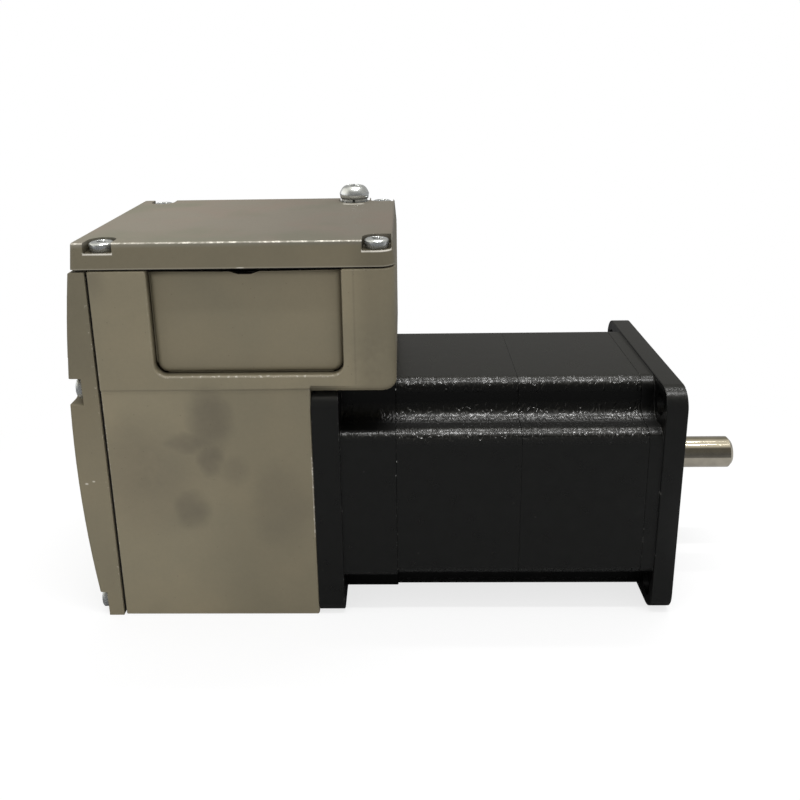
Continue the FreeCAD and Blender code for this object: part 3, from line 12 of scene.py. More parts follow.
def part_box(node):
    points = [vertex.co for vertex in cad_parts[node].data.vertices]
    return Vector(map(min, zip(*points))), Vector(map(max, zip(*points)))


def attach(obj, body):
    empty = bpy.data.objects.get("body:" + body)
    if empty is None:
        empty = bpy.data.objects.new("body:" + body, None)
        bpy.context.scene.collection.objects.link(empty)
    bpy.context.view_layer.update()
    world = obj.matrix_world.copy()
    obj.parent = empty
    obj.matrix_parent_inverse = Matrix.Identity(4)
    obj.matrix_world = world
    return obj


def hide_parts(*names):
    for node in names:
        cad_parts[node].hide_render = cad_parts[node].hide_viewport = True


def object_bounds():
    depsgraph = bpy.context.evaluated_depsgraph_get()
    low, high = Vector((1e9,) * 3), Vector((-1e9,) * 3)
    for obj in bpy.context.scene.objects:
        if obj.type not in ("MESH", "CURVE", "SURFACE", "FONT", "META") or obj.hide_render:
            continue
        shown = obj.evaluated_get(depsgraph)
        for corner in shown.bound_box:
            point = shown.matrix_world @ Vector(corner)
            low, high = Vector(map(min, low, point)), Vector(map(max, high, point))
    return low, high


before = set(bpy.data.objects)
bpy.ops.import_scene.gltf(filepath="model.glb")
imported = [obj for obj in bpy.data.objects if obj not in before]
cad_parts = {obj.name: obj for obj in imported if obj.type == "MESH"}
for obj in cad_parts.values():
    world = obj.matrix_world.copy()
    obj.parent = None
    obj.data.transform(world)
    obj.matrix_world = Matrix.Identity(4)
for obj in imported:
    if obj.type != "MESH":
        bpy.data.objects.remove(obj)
cad_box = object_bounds()

bl_info = {
    "name": "Integrated stepper motor looks",
    "version": (1, 0, 0),
    "blender": (4, 5, 0),
    "location": "View3D > Sidebar > Motor",
    "description": "Rounds, paints and stages the packed motor",
    "category": "Object",
}

MM = 0.001
CASING = "casing"
EVEN = (1.0, 1.0, 1.0)
UNTURNED = (0.0, 0.0, 0.0)
WHITE = (1.0, 1.0, 1.0)


# Values that a user may change

def colour(name, description, default):
    """Linear colour."""
    return FloatVectorProperty(name=name, description=description, default=default, subtype="COLOR",
                               size=3, min=0.0, max=1.0)


def length(name, description, millimetres):
    """Length, given here in millimetres."""
    return FloatProperty(name=name, description=description, default=millimetres * MM, unit="LENGTH",
                         min=0.0, precision=5)


def position(name, description, millimetres):
    """Place on an axis, to either side of the origin, given here in millimetres."""
    return FloatProperty(name=name, description=description, default=millimetres * MM, unit="LENGTH")


def slant(name, description, degrees):
    """Angle, given here in degrees."""
    return FloatProperty(name=name, description=description, default=math.radians(degrees), subtype="ANGLE")


def positive(name, description, default):
    """Number that is never negative."""
    return FloatProperty(name=name, description=description, default=default, min=0.0)


def share(name, description, default):
    """Share from 0 to 1."""
    return FloatProperty(name=name, description=description, default=default, subtype="FACTOR",
                         min=0.0, max=1.0)


def count(name, description, default):
    """Number of like features round a ring."""
    return IntProperty(name=name, description=description, default=default, min=3, max=20)


class CastingLooks(bpy.types.PropertyGroup):
    side: colour("Side", "Coated sides of the castings", (0.220, 0.190, 0.126))
    side_shade: colour("Side stain", "Darker clouds on the sides", (0.197, 0.174, 0.118))
    lid: colour("Lid", "Top of the connector lid", (0.199, 0.178, 0.142))
    lid_rose: colour("Lid, warm stain", "Warm clouds on the lid", (0.207, 0.174, 0.139))
    lid_moss: colour("Lid, green stain", "Greenish clouds on the lid", (0.173, 0.166, 0.124))
    # Colour of bare metal where the coat has worn off, also used for painted highlights on edges.
    bare_and_highlight: colour("Bare metal", "Metal where the coat has worn off", (0.88, 0.84, 0.75))
    edge: length("Edge radius", "Rounding of the cast edges", 0.40)
    grain: length("Grain", "Size of the fine cast grain", 0.8)


class MotorLooks(bpy.types.PropertyGroup):
    paint: colour("Paint", "Black paint of the motor", (0.0072, 0.0074, 0.0070))
    dust: colour("Dust", "Dust and rubbed spots on the paint", (0.05, 0.049, 0.045))
    primer: colour("Primer", "Chips at the seams", (0.42, 0.42, 0.40))
    wrinkle_along: length("Wrinkle along the shaft", "Width of the paint's wrinkles", 1.15)
    wrinkle_round: length("Wrinkle round the body", "Length of the paint's wrinkles", 2.1)
    wrinkle_height: length("Wrinkle height", "Height of the paint's wrinkles", 0.5)
    edge: length("Edge radius", "Rounding of the motor's edges", 0.2)


class MetalLooks(bpy.types.PropertyGroup):
    steel: colour("Ground steel", "Shaft and turned steel", (0.62, 0.57, 0.47))
    zinc: colour("Zinc", "Plated screws and washers", (0.74, 0.76, 0.76))
    zinc_shade: colour("Zinc, dull", "Dull patches of the plating", (0.50, 0.52, 0.52))
    copper: colour("Copper", "Winding wire", (0.55, 0.21, 0.09))
    brass: colour("Brass", "Connector pins", (0.62, 0.45, 0.16))


class ScrewSizes(bpy.types.PropertyGroup):
    rim_drop: length("Rim drop", "Cover screw head, rim below its top", 0.5)
    drive_radius: length("Drive radius", "Six-lobe recess, mean radius", 1.15)
    drive_ripple: length("Drive ripple", "Six-lobe recess, lobes in and out", 0.17)
    drive_depth: length("Drive depth", "Six-lobe recess", 1.2)
    drive_lobes: count("Drive lobes", "Lobes of the recess", 6)
    earth_drop: length("Earth rim drop", "Earth screw head, rim below its top", 2.2)
    earth_drive: length("Earth recess radius", "Cross recess, mean radius", 1.25)
    earth_ripple: length("Earth recess ripple", "Cross recess, arms in and out", 0.8)
    earth_depth: length("Earth recess depth", "Cross recess", 1.4)
    earth_arms: count("Earth recess arms", "Arms of the cross recess", 4)
    washer_teeth: count("Washer teeth", "Teeth of the toothed washer", 10)


class StageSetup(bpy.types.PropertyGroup):
    place: FloatVectorProperty(name="Camera", description="Place of the camera", size=3, unit="LENGTH",
                               subtype="TRANSLATION", default=(-0.062803, -0.203215, 0.100518))
    shift: FloatVectorProperty(name="Shift", description="Lens shift as a share of the frame", size=2,
                               default=(0.01975, -0.12096))
    pitch: slant("Pitch", "Camera below the horizon", 16.219)
    yaw: slant("Yaw", "Camera to the right of +Y", -1.480)
    roll: slant("Roll", "Camera about its line of sight", -1.003)
    lens: positive("Lens", "Focal length in millimetres", 37.97)
    strip_height: length("Strip height", "Ceiling strips above the shaft", 860.0)
    strip_front: position("Front strip", "Ceiling strip before the object", -185.0)
    strip_back: position("Back strip", "Ceiling strip behind the object", 205.0)
    strip_along: position("Strip middle", "Middle of the strips along the shaft", 50.0)
    strip_length: length("Strip length", "Length of the ceiling strips", 500.0)
    strip_width: length("Strip width", "Width of the ceiling strips", 34.0)
    front_power: positive("Front strip power", "Power in watts", 3.3)
    back_power: positive("Back strip power", "Power in watts", 1.6)
    room: positive("Room", "Light of the room", 0.92)
    mirrored_room: positive("Mirrored room", "Room as reflections show it", 0.31)
    mirrored_floor: share("Mirrored floor", "Share of the floor's colour that reflections show", 0.12)
    mirrored_front: share("Mirrored floor ahead", "The same share ahead of the mounting face", 0.42)
    floor: colour("Floor", "Pale floor", (0.90, 0.90, 0.90))


# Node trees

class Wire:
    """A node socket that takes part in Python expressions; each operator adds its Math node."""

    def __init__(self, graph, socket):
        self.graph = graph
        self.socket = socket

    def __add__(self, other):
        return self.graph.maths("ADD", self, other)

    def __sub__(self, other):
        return self.graph.maths("SUBTRACT", self, other)

    def __rsub__(self, other):
        return self.graph.maths("SUBTRACT", other, self)

    def __mul__(self, other):
        return self.graph.maths("MULTIPLY", self, other)

    def __truediv__(self, other):
        return self.graph.maths("DIVIDE", self, other)

    def __rtruediv__(self, other):
        return self.graph.maths("DIVIDE", other, self)

    def __pow__(self, other):
        return self.graph.maths("POWER", self, other)

    def __gt__(self, other):
        return self.graph.maths("GREATER_THAN", self, other)

    def __lt__(self, other):
        return self.graph.maths("LESS_THAN", self, other)

    def __neg__(self):
        return self.graph.maths("MULTIPLY", self, -1.0)

    def __abs__(self):
        return self.graph.maths("ABSOLUTE", self)

    __radd__ = __add__
    __rmul__ = __mul__


class Graph:
    """Adds nodes to a tree, each from its type, its settings and the values or links of its sockets."""

    MIX_FIRST = 6
    MIX_SECOND = 7
    MIX_RESULT = 2

    def __init__(self, tree):
        self.tree = tree

    def node(self, kind, settings=None, sockets=None, output=0):
        """Add a node and give one of its outputs."""
        node = self.tree.nodes.new(kind)
        for name, value in (settings or {}).items():
            setattr(node, name, value)
        for name, value in (sockets or {}).items():
            for item in value if isinstance(value, list) else [value]:
                if isinstance(item, Wire):
                    self.tree.links.new(item.socket, node.inputs[name])
                else:
                    node.inputs[name].default_value = item
        return Wire(self, node.outputs[output])

    def end(self, kind, wire):
        """Close the tree with its output node."""
        self.tree.links.new(wire.socket, self.tree.nodes.new(kind).inputs[0])

    def maths(self, operation, *values):
        return self.node("ShaderNodeMath", {"operation": operation}, dict(enumerate(values)))

    def distance(self, x, y):
        return self.maths("SQRT", x * x + y * y)

    def ramp(self, value, low, high):
        """Smooth rise from 0 at low to 1 at high."""
        return self.node("ShaderNodeMapRange", {"interpolation_type": "SMOOTHSTEP"},
                         {0: value, 1: low, 2: high, 3: 0.0, 4: 1.0})

    def rise(self, value, span):
        """Smooth rise from 0 to 1 over a stretch given in millimetres."""
        return self.ramp(value, span[0] * MM, span[1] * MM)

    def band(self, value, low, high, soft):
        """1 between low and high, with soft ends."""
        return self.ramp(value, low - soft, low + soft) * (1 - self.ramp(value, high - soft, high + soft))

    def axes(self, vector):
        """The three parts of a vector."""
        parts = self.node("ShaderNodeSeparateXYZ", sockets={0: vector}).socket.node.outputs
        return [Wire(self, part) for part in parts]

    def vector(self, x=0.0, y=0.0, z=0.0):
        """Vector from its three parts."""
        return self.node("ShaderNodeCombineXYZ", sockets={0: x, 1: y, 2: z})

    def mix(self, first, second, amount):
        """Colour between two, each a link or a plain colour."""
        return self.node("ShaderNodeMix", {"data_type": "RGBA"}, {
            0: amount, self.MIX_FIRST: rgba(first), self.MIX_SECOND: rgba(second)}, self.MIX_RESULT)


def rgba(tint):
    return tint if isinstance(tint, Wire) else (*tint, 1.0)


def darker(tint, amount):
    return tuple(amount * part for part in tint)


def emptied(owner):
    """Node tree of a material or a world, without the nodes it starts with."""
    owner.use_nodes = True
    owner.node_tree.nodes.clear()
    return owner.node_tree


Patch = namedtuple("Patch", "x z wide high")
NEAR_SIDE = -20 * MM


class Surface(Graph):
    """A material round one Principled shader, with its patterns laid out in object space."""

    NOISE_ROUGHNESS = 0.55
    OFFSET_PARTS = (1.0, 0.7, 1.3)

    def __init__(self, name, **constants):
        self.material = bpy.data.materials.new(name)
        super().__init__(emptied(self.material))
        self.shader = self.tree.nodes.new("ShaderNodeBsdfPrincipled")
        self.end("ShaderNodeOutputMaterial", Wire(self, self.shader.outputs[0]))
        self.place = self.node("ShaderNodeTexCoord", output="Object")
        self.x, self.y, self.z = self.axes(self.place)
        self.facing = self.node("ShaderNodeTexCoord", output="Normal")
        for socket, value in constants.items():
            self.feed(socket.replace("_", " "), value)

    def feed(self, socket, value):
        """Give one of the shader's sockets a value or a link."""
        if isinstance(value, Wire):
            self.tree.links.new(value.socket, self.shader.inputs[socket])
        else:
            self.shader.inputs[socket].default_value = value

    def scaled(self, size, stretch, offset):
        """Object coordinates in which a pattern's lumps have the given size."""
        factors = tuple(1.0 / (size * side) for side in stretch)
        return self.node("ShaderNodeVectorMath", {"operation": "MULTIPLY_ADD"},
                         {0: self.place, 1: factors, 2: tuple(offset * part for part in self.OFFSET_PARTS)})

    def noise(self, size, detail=2.0, stretch=EVEN, offset=0.0):
        """Cloudy pattern from 0 to 1 whose lumps are about the given size."""
        return self.node("ShaderNodeTexNoise", sockets={
            "Vector": self.scaled(size, stretch, offset), "Scale": 1.0, "Detail": detail,
            "Roughness": self.NOISE_ROUGHNESS}, output="Fac")

    def dots(self, size, reach, offset):
        """Sparse specks: 1 at the middle of some cells of the given size."""
        cell = self.scaled(size, EVEN, offset)
        near = self.node("ShaderNodeTexVoronoi", sockets={"Vector": cell, "Scale": 1.0}, output="Distance")
        return 1 - self.ramp(near, reach * 0.5, reach)

    def lit(self, tint, amount):
        """A colour made lighter or darker by a value."""
        return self.node("ShaderNodeVectorMath", {"operation": "SCALE"}, {0: tint, 3: amount})

    def bump(self, height, distance, strength=1.0):
        """Raise the surface by a height from 0 to 1, where 1 stands for the distance."""
        self.feed("Normal", self.node("ShaderNodeBump", sockets={
            "Height": height, "Distance": distance, "Strength": strength}))

    def between(self, value, span, soft=0.3):
        """1 between two places in millimetres, with soft ends."""
        return self.band(value, span[0] * MM, span[1] * MM, soft * MM)

    def near_side(self):
        return self.y < NEAR_SIDE

    def spot(self, patch):
        """Soft ragged patch on the near side, in millimetres."""
        across = (self.x - patch.x * MM) / (patch.wide * MM)
        up = (self.z - patch.z * MM) / (patch.high * MM)
        ragged = self.noise(0.9 * min(patch.wide, patch.high) * MM, offset=patch.x) - 0.5
        return (1 - self.ramp(across * across + up * up + 1.1 * ragged, -0.3, 1.6)) * self.near_side()

    def spots(self, patches):
        return self.most(*[self.spot(patch) for patch in patches])

    def most(self, *values):
        """The largest of several values, and 1 at most."""
        total = values[0]
        for value in values[1:]:
            total = self.maths("MAXIMUM", total, value)
        return self.maths("MINIMUM", total, 1.0)


# Places on the castings in millimetres, along the shaft (x) and up (z)

MACHINED_LEVEL = 29.9
ARM_END = (-76, -70)
LOWER_SIDE = (-120, -96)
SCUFF = Patch(-70.5, 37.0, 5.5, 7.0)
STAINS = (Patch(-107.2, 22.5, 5.4, 8.0), Patch(-112.3, 16.7, 7.4, 3.0), Patch(-108.0, 13.2, 3.4, 5.0),
          Patch(-113.4, 0.4, 4.6, 5.6))
FAINT_STAINS = (Patch(-102.3, 10.0, 3.4, 3.8), Patch(-90.9, 1.0, 8.0, 12.0))
REAR_STAIN = Patch(-123.0, 9.0, 13.0, 15.0)
STEP_Z = (29.7, 30.1)
FLANGE_SKIN_X = (-74.1, -73.7)
FLANGE_SKIN_FOOT = 31
# Painted shade under the lid's corner
LID_CORNER_SHADE_X = (-133, -128)
LID_CORNER_SHADE_Z = (52, 60)
SILL_X = (-119.0, -78.0)
SILL_Z = (32.3, 33.9)
FOOT_X = (-85.6, -83.6)
FOOT_Z = (-6.0, 13.0)
REAR_SEAM_X = (-132.0, -130.9)
REAR_SEAM_Z = (-20.0, 40.0)
LID_X = (-130, -66)
LID_RIM_Z = (62.2, 63.3)
LID_RIM_FOOT = 62.4
LID_TOP = 63.4
LID_SEAM_Z = (57.7, 58.05)
LID_SEAM_NICK = Patch(-98.0, 57.9, 0.8, 0.8)
POCKETS_X = ((-131.8, -125.4), (-72.0, -65.6))
POCKET_Z = (61.2, 63.45)
POCKET_LIP_Z = (60.95, 61.5)
POCKET_SIDE = 21.8
EARTH_ARC_RADIUS = (5.6, 6.8)
EARTH_ARC_WIDTH = (-2.6, 2.6)
COVER_RIM_X = (-132.5, -131.8)
COVER_DARK_Z = (0, 40)
COVER_NICKS = (Patch(-137.0, 6.8, 0.4, 0.25), Patch(-135.3, 7.4, 0.35, 0.2))


# Castings

STAIN_AND_SHADE_TINT = (0.70, 0.70, 0.73)
CAST_HEIGHT = 0.02 * MM


def casting(name, tint, wear=None, stains_and_shade=None, bumpy=1.0):
    """Coated casting: cloudy tint, fine grain, scuffs and flecks, bare metal where it is worn and as painted
    highlight on some edges, and darkening for stains and painted shade where given.
    """
    looks = bpy.context.scene.motor_castings
    s = Surface(name, Specular_IOR_Level=0.28)
    grain = s.noise(looks.grain, detail=3.0)
    drift = s.noise(9 * MM, detail=3.0, offset=3.1)
    handled = s.ramp(s.noise(16 * MM, detail=1.0, offset=8.0), 0.62, 0.72) * 0.5
    scuff = (s.noise(1.8 * MM, detail=3.0, offset=5.0) - 0.5) * s.most(s.spot(SCUFF), handled)
    base = s.lit(tint(s, looks), 0.93 + 0.09 * grain + 0.06 * drift + 0.35 * scuff)
    fleck = s.dots(2.6 * MM, reach=0.07, offset=2.0)
    base = s.mix(base, s.lit(base, 0.55), fleck * 0.5)
    # Stains and painted shade darken the colour here.
    if stains_and_shade:
        stained_and_shaded = s.node("ShaderNodeVectorMath", {"operation": "MULTIPLY"}, {0: base, 1: STAIN_AND_SHADE_TINT})
        base = s.mix(base, stained_and_shaded, stains_and_shade(s))
    # Bare metal for real wear and, on some edges, for painted highlights.
    bare_and_highlight = wear(s) if wear else 0.0
    s.feed("Base Color", s.mix(base, looks.bare_and_highlight, bare_and_highlight))
    s.feed("Metallic", 0.20 + 0.15 * bare_and_highlight)
    s.feed("Roughness", 0.48 + 0.10 * drift - 0.16 * bare_and_highlight)
    s.bump(grain * 0.6 + drift * 0.4, CAST_HEIGHT * bumpy, 0.8)
    return s.material


def side_tint(s, looks):
    """Cloudy coat, with painted shade at the arm's end and, below the machined step, painted shade that
    grows towards the motor.
    """
    clouds = s.ramp(s.noise(26 * MM, detail=3.0, offset=1.7), 0.30, 0.70)
    # Painted shade: the coat darkens towards the arm's end.
    shaded = 1 - 0.20 * s.rise(s.x, ARM_END)
    # Painted shade: below the machined step the coat darkens from the back towards the motor.
    lower = 1.09 - 0.18 * s.rise(s.x, LOWER_SIDE)
    machined = (s.z < MACHINED_LEVEL * MM) * (s.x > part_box("electronics_housing")[0].x)
    return s.lit(s.mix(looks.side_shade, looks.side, clouds), shaded * (1 + (lower - 1) * machined))


def lid_tint(s, looks):
    """Stained top, with a painted light gradient that darkens it towards the front, over darker walls, with
    painted shade in the pockets round the screws.
    """
    warm = s.ramp(s.noise(17 * MM, offset=4.2), 0.40, 0.65)
    moss = s.ramp(s.noise(23 * MM, offset=9.4), 0.48, 0.68)
    top = s.mix(s.mix(looks.lid, looks.lid_rose, warm), looks.lid_moss, moss * 0.8)
    # Painted light: the top is lighter at the back and darker towards the front.
    top = s.lit(top, 1.08 - 0.30 * s.rise(s.x, LID_X))
    wall = s.lit(side_tint(s, looks), 0.74)
    whole = s.mix(wall, top, s.rise(s.z, LID_RIM_Z))
    # Painted shade inside the screw pockets.
    pocket_shade = lid_pockets(s) * s.between(s.z, POCKET_Z, 0.05) * (abs(s.y) > POCKET_SIDE * MM)
    return s.lit(whole, 1 - 0.35 * pocket_shade)


def insert_tint(s, looks):
    return s.lit(side_tint(s, looks), 0.90)


def cover_tint(s, looks):
    # Painted shade: the cover darkens towards the top.
    return s.lit(side_tint(s, looks), 0.96 - 0.20 * s.rise(s.z, COVER_DARK_Z))


def lid_pockets(s):
    """Stretches along the shaft that the pockets of the lid screws take up."""
    return s.most(*[s.between(s.x, pocket, 0.1) for pocket in POCKETS_X])


def housing_stains_and_shade(s):
    """Stains on the near side, painted shade along the machined step and under the lid's corner, and a dark
    line by the flange.
    """
    # Painted shade along the machined step.
    step = s.between(s.z, STEP_Z, 0.15) * s.near_side()
    skin = s.between(s.x, FLANGE_SKIN_X, 0.15) * (s.z > FLANGE_SKIN_FOOT * MM) * s.near_side()
    # Painted shade under the lid's corner.
    corner = s.between(s.z, LID_CORNER_SHADE_Z, 4.0) * s.between(s.x, LID_CORNER_SHADE_X, 2.0)
    stains = s.most(s.spots(STAINS), s.spot(REAR_STAIN) * 0.7, s.spots(FAINT_STAINS) * 0.45)
    return s.most(stains, step * 0.5, skin * 0.4, corner * 0.5)


def housing_wear_and_highlight(s):
    """Chips along the sill of the opening, where the bright line is partly a painted highlight, the edge at
    the flange and the seam of the rear cover.
    """
    chips = 0.2 + 0.8 * s.ramp(s.noise(0.8 * MM, detail=3.0, offset=2.2), 0.54, 0.64)
    # Bright sill line: partly wear, partly painted highlight.
    sill = s.between(s.z, SILL_Z) * s.between(s.x, SILL_X, 3.0)
    foot = s.between(s.x, FOOT_X) * s.between(s.z, FOOT_Z, 3.0)
    seam = s.between(s.x, REAR_SEAM_X) * s.between(s.z, REAR_SEAM_Z, 10.0)
    return s.most(sill * 0.42, foot * 0.8, seam * 0.3, 0.05) * chips


def lid_wear_and_highlight(s):
    """Bare lines along the lid's near edge, under its screws and before the earth screw, partly wear and
    partly painted highlight on faces turned towards the near side.
    """
    broken = 0.4 + 0.6 * s.ramp(s.noise(3.5 * MM, detail=4.0, offset=3.0), 0.42, 0.54)
    sparkle = 0.45 + 0.55 * s.ramp(s.noise(0.9 * MM, detail=3.0, offset=6.1), 0.50, 0.62)
    _, across, up = s.axes(s.facing)
    # Painted highlight together with wear: only faces turned towards the near side get the bright lines.
    near = s.ramp(-across, 0.25, 0.45)
    rim = s.band(up, 0.40, 0.90, 0.06) * near * (s.z > LID_RIM_FOOT * MM) * broken * sparkle
    smile = s.between(s.z, POCKET_LIP_Z, 0.1) * near * lid_pockets(s) * (0.6 + 0.4 * broken)
    seam = s.between(s.z, LID_SEAM_Z, 0.08) * near * (0.10 + 0.4 * s.spot(LID_SEAM_NICK))
    low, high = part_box("earth_screw")
    middle = (low + high) / 2
    beside = s.x - middle.x
    before = s.y - middle.y
    # Bright arc before the earth screw, partly wear and partly painted highlight.
    ring = s.between(s.distance(beside, before), EARTH_ARC_RADIUS)
    arc = ring * s.between(beside, EARTH_ARC_WIDTH, 0.6) * (before < 0.0) * (s.z > LID_TOP * MM)
    return s.most(rim * 0.8, smile * 0.8, arc * 0.6, seam)


def cover_wear(s):
    """Two nicks, and small chips on the rear cover's near edge."""
    chips = s.ramp(s.noise(1.0 * MM, detail=3.0, offset=5.2), 0.60, 0.68) * s.between(s.x, COVER_RIM_X, 0.2)
    return s.most(chips * 0.2, s.spots(COVER_NICKS) * 0.6)


# Rounded copies of CAD pieces

WELD = 0.06 * MM
FLAT_ANGLE = math.radians(0.6)
SHARP_ANGLE = math.radians(35)
BEVEL_WEIGHT = "bevel_weight_edge"
BEVEL_SEGMENTS = 2
NORMAL_WEIGHT = 80
SKIN = 2.9 * MM
STEP_REACH = 0.9 * MM


def outside(node, step):
    """Test for edges on the outside of a casting, leaving out those of a shallow step at the given level."""
    low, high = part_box(node)

    def chosen(middle):
        depth = min(min(middle[axis] - low[axis], high[axis] - middle[axis]) for axis in range(3))
        return depth < SKIN and abs(middle.z - step) >= STEP_REACH

    return chosen


def worked_copy(node, name, finish, edge_finish, chosen=None):
    """Welded copy of a CAD node's mesh whose sharp edges are marked for rounding."""
    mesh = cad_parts[node].data.copy()
    mesh.name = name
    for spare in ("custom_normal", "sharp_edge", "sharp_face"):
        if spare in mesh.attributes:
            mesh.attributes.remove(mesh.attributes[spare])
    work = bmesh.new()
    work.from_mesh(mesh)
    bmesh.ops.remove_doubles(work, verts=work.verts, dist=WELD)
    bmesh.ops.dissolve_limit(work, angle_limit=FLAT_ANGLE, verts=work.verts, edges=work.edges)
    weight = work.edges.layers.float.new(BEVEL_WEIGHT)
    for edge in work.edges:
        sharp = len(edge.link_faces) == 2 and edge.calc_face_angle(0.0) > SHARP_ANGLE
        middle = (edge.verts[0].co + edge.verts[1].co) / 2
        edge[weight] = float(sharp and (chosen is None or chosen(middle)))
    for face in work.faces:
        face.smooth = True
        face.material_index = 0
    work.to_mesh(mesh)
    work.free()
    mesh.materials.clear()
    mesh.materials.append(finish)
    mesh.materials.append(edge_finish)
    return added(name, mesh)


def added(name, data):
    """New object in the scene."""
    thing = bpy.data.objects.new(name, data)
    bpy.context.scene.collection.objects.link(thing)
    return thing


def settled(piece):
    """Turn what the modifiers make into the piece's own mesh."""
    bpy.context.view_layer.update()
    depsgraph = bpy.context.evaluated_depsgraph_get()
    mesh = bpy.data.meshes.new_from_object(piece.evaluated_get(depsgraph), depsgraph=depsgraph)
    piece.modifiers.clear()
    piece.data = mesh
    mesh.name = piece.name
    return piece


def stand_for(piece, slot, *nodes):
    """Let a finished piece take the place of CAD nodes on the casing."""
    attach(piece, CASING)
    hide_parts(*nodes)


def rounded(node, name, slot, radius, finish, edge_finish, chosen=None, reshape=None, held=False):
    """Rounded copy of a CAD node in its finish; held keeps close edges from growing past each other."""
    piece = worked_copy(node, name, finish, edge_finish, chosen)
    if reshape:
        reshape(node, piece)
    if radius:
        bevel = piece.modifiers.new("rounding", "BEVEL")
        bevel.limit_method = "WEIGHT"
        bevel.offset_type = "OFFSET"
        bevel.width = radius
        bevel.segments = BEVEL_SEGMENTS
        bevel.material = 1
        bevel.use_clamp_overlap = held
    normals = piece.modifiers.new("normals", "WEIGHTED_NORMAL")
    normals.weight = NORMAL_WEIGHT
    normals.keep_sharp = True
    stand_for(settled(piece), slot, node)


# Eased faces of the inserts

EASE_RADIUS = 1.3 * MM
EASE_STEPS = 6
EASE_MOST = 0.92
SEAM_CLOSING = 0.13 * MM
SAME_PLACE = 0.02 * MM
FACING_OUT = 0.99
NOTCH_SLOPE = 1.8 * MM
NOTCH_DEPTH = 1.5 * MM
NOTCH_SHARE = 0.25
Face = namedtuple("Face", "level outward rear ahead sill top corner middle")


def front_of(node, work):
    """Mesh faces of an insert's outer face, and its outline with the radius of its lower corners."""
    low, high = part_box(node)
    outward = -1.0 if low.y < 0 else 1.0
    level = low.y if low.y < 0 else high.y
    front = [face for face in work.faces if face.normal.y * outward > FACING_OUT
             and abs(face.calc_center_median().y - level) < SAME_PLACE]
    spots = [vert.co.copy() for face in front for vert in face.verts]
    rear = min(spot.x for spot in spots)
    ahead = max(spot.x for spot in spots)
    sill = min(spot.z for spot in spots)
    top = max(spot.z for spot in spots)
    corner = min(spot.z for spot in spots if spot.x - rear < SAME_PLACE) - sill
    return front, Face(level, outward, rear, ahead, sill, top, corner, (rear + ahead) / 2)


def slope_notch(work, face):
    """Let the notch in an insert's upper edge run in at a slant."""
    for vert in work.verts:
        reach = vert.co.x - face.middle
        within = abs(reach) < NOTCH_SHARE * (face.ahead - face.rear)
        if within and SAME_PLACE < face.top - vert.co.z < NOTCH_DEPTH:
            vert.co.x -= math.copysign(NOTCH_SLOPE, reach)


def inset_rings(work, front):
    """Rings of faces inside the outline, closer together towards it."""
    gone = 0.0
    for step in range(1, EASE_STEPS + 1):
        reach = EASE_RADIUS * (1 - math.cos(math.pi / 2 * step / EASE_STEPS))
        bmesh.ops.inset_region(work, faces=front, thickness=reach - gone, use_even_offset=True,
                               use_boundary=True)
        gone = reach


def ease(vert, face):
    """Move a vertex back by the rounding, and one on the outline into the gap beside it."""
    along = min(vert.co.x - face.rear, face.ahead - vert.co.x)
    up = vert.co.z - face.sill
    wall = min(along, up)
    if along < face.corner and up < face.corner:
        wall = face.corner - math.hypot(face.corner - along, face.corner - up)
    left = min(max(EASE_RADIUS - wall, 0.0), EASE_MOST * EASE_RADIUS)
    if wall < SAME_PLACE:
        beside = up < face.top - face.sill - SAME_PLACE or along < SAME_PLACE
        sideways = max(face.corner - along, 0.0) * beside
        away = Vector((sideways, max(face.corner - up, 0.0))).normalized() * SEAM_CLOSING
        vert.co.x += math.copysign(away.x, vert.co.x - face.middle)
        vert.co.z -= away.y
    vert.co.y -= face.outward * (EASE_RADIUS - math.sqrt(EASE_RADIUS * EASE_RADIUS - left * left))


def eased(node, piece):
    """Round an insert's face over along its ends and its sill, into the gap beside the housing."""
    work = bmesh.new()
    work.from_mesh(piece.data)
    weight = work.edges.layers.float[BEVEL_WEIGHT]
    front, face = front_of(node, work)
    slope_notch(work, face)
    for edge in work.edges:
        if any(side in front for side in edge.link_faces):
            edge[weight] = 0.0
            edge.smooth = False
    inset_rings(work, front)
    for vert in work.verts:
        if abs(vert.co.y - face.level) < SAME_PLACE:
            ease(vert, face)
    work.to_mesh(piece.data)
    work.free()


class MotorOperator:
    """What the steps share: each can be undone."""
    bl_options = {"REGISTER", "UNDO"}


class MOTOR_OT_castings(MotorOperator, bpy.types.Operator):
    """Round and paint the housing, its lid, the rear cover and the side inserts"""
    bl_idname = "motor.castings"
    bl_label = "Castings"

    def execute(self, context):
        edge = context.scene.motor_castings.edge
        rounded("electronics_housing", "housing", "housing_casting", edge,
                casting("housing_cast", side_tint, stains_and_shade=housing_stains_and_shade),
                casting("housing_edge", side_tint, housing_wear_and_highlight, housing_stains_and_shade),
                outside("electronics_housing", MACHINED_LEVEL * MM))
        lid = casting("lid_cast", lid_tint, lid_wear_and_highlight)
        rounded("connector_lid", "lid", "lid_casting", edge, lid, lid, held=True)
        cover = casting("cover_cast", cover_tint, cover_wear)
        rounded("rear_cover", "back_cover", "cover_casting", edge, cover, cover, held=True)
        insert = casting("insert_cast", insert_tint, bumpy=0.4)
        insert_edge = casting("insert_edge", insert_tint)
        for node, name in (("left_insert", "insert_left"), ("right_insert", "insert_right")):
            rounded(node, name, "insert_casting", 0.0, insert, insert_edge, reshape=eased)
        return {"FINISHED"}


# Motor shells

NOTCH_REACH = 27.4 * MM
FLANGE_FRONT = -78.1 * MM
SEAM_BEHIND = 0.2
SEAM_AHEAD = 0.3
BOLT_REACH = 23.57 * MM
BOLT_ROOM = 3.2 * MM
SHELL_SIDE = 27.0 * MM
SHELL_NOTCH = 17.9 * MM
STACK_GLOSS = 0.12
STACK_EDGE = 0.5


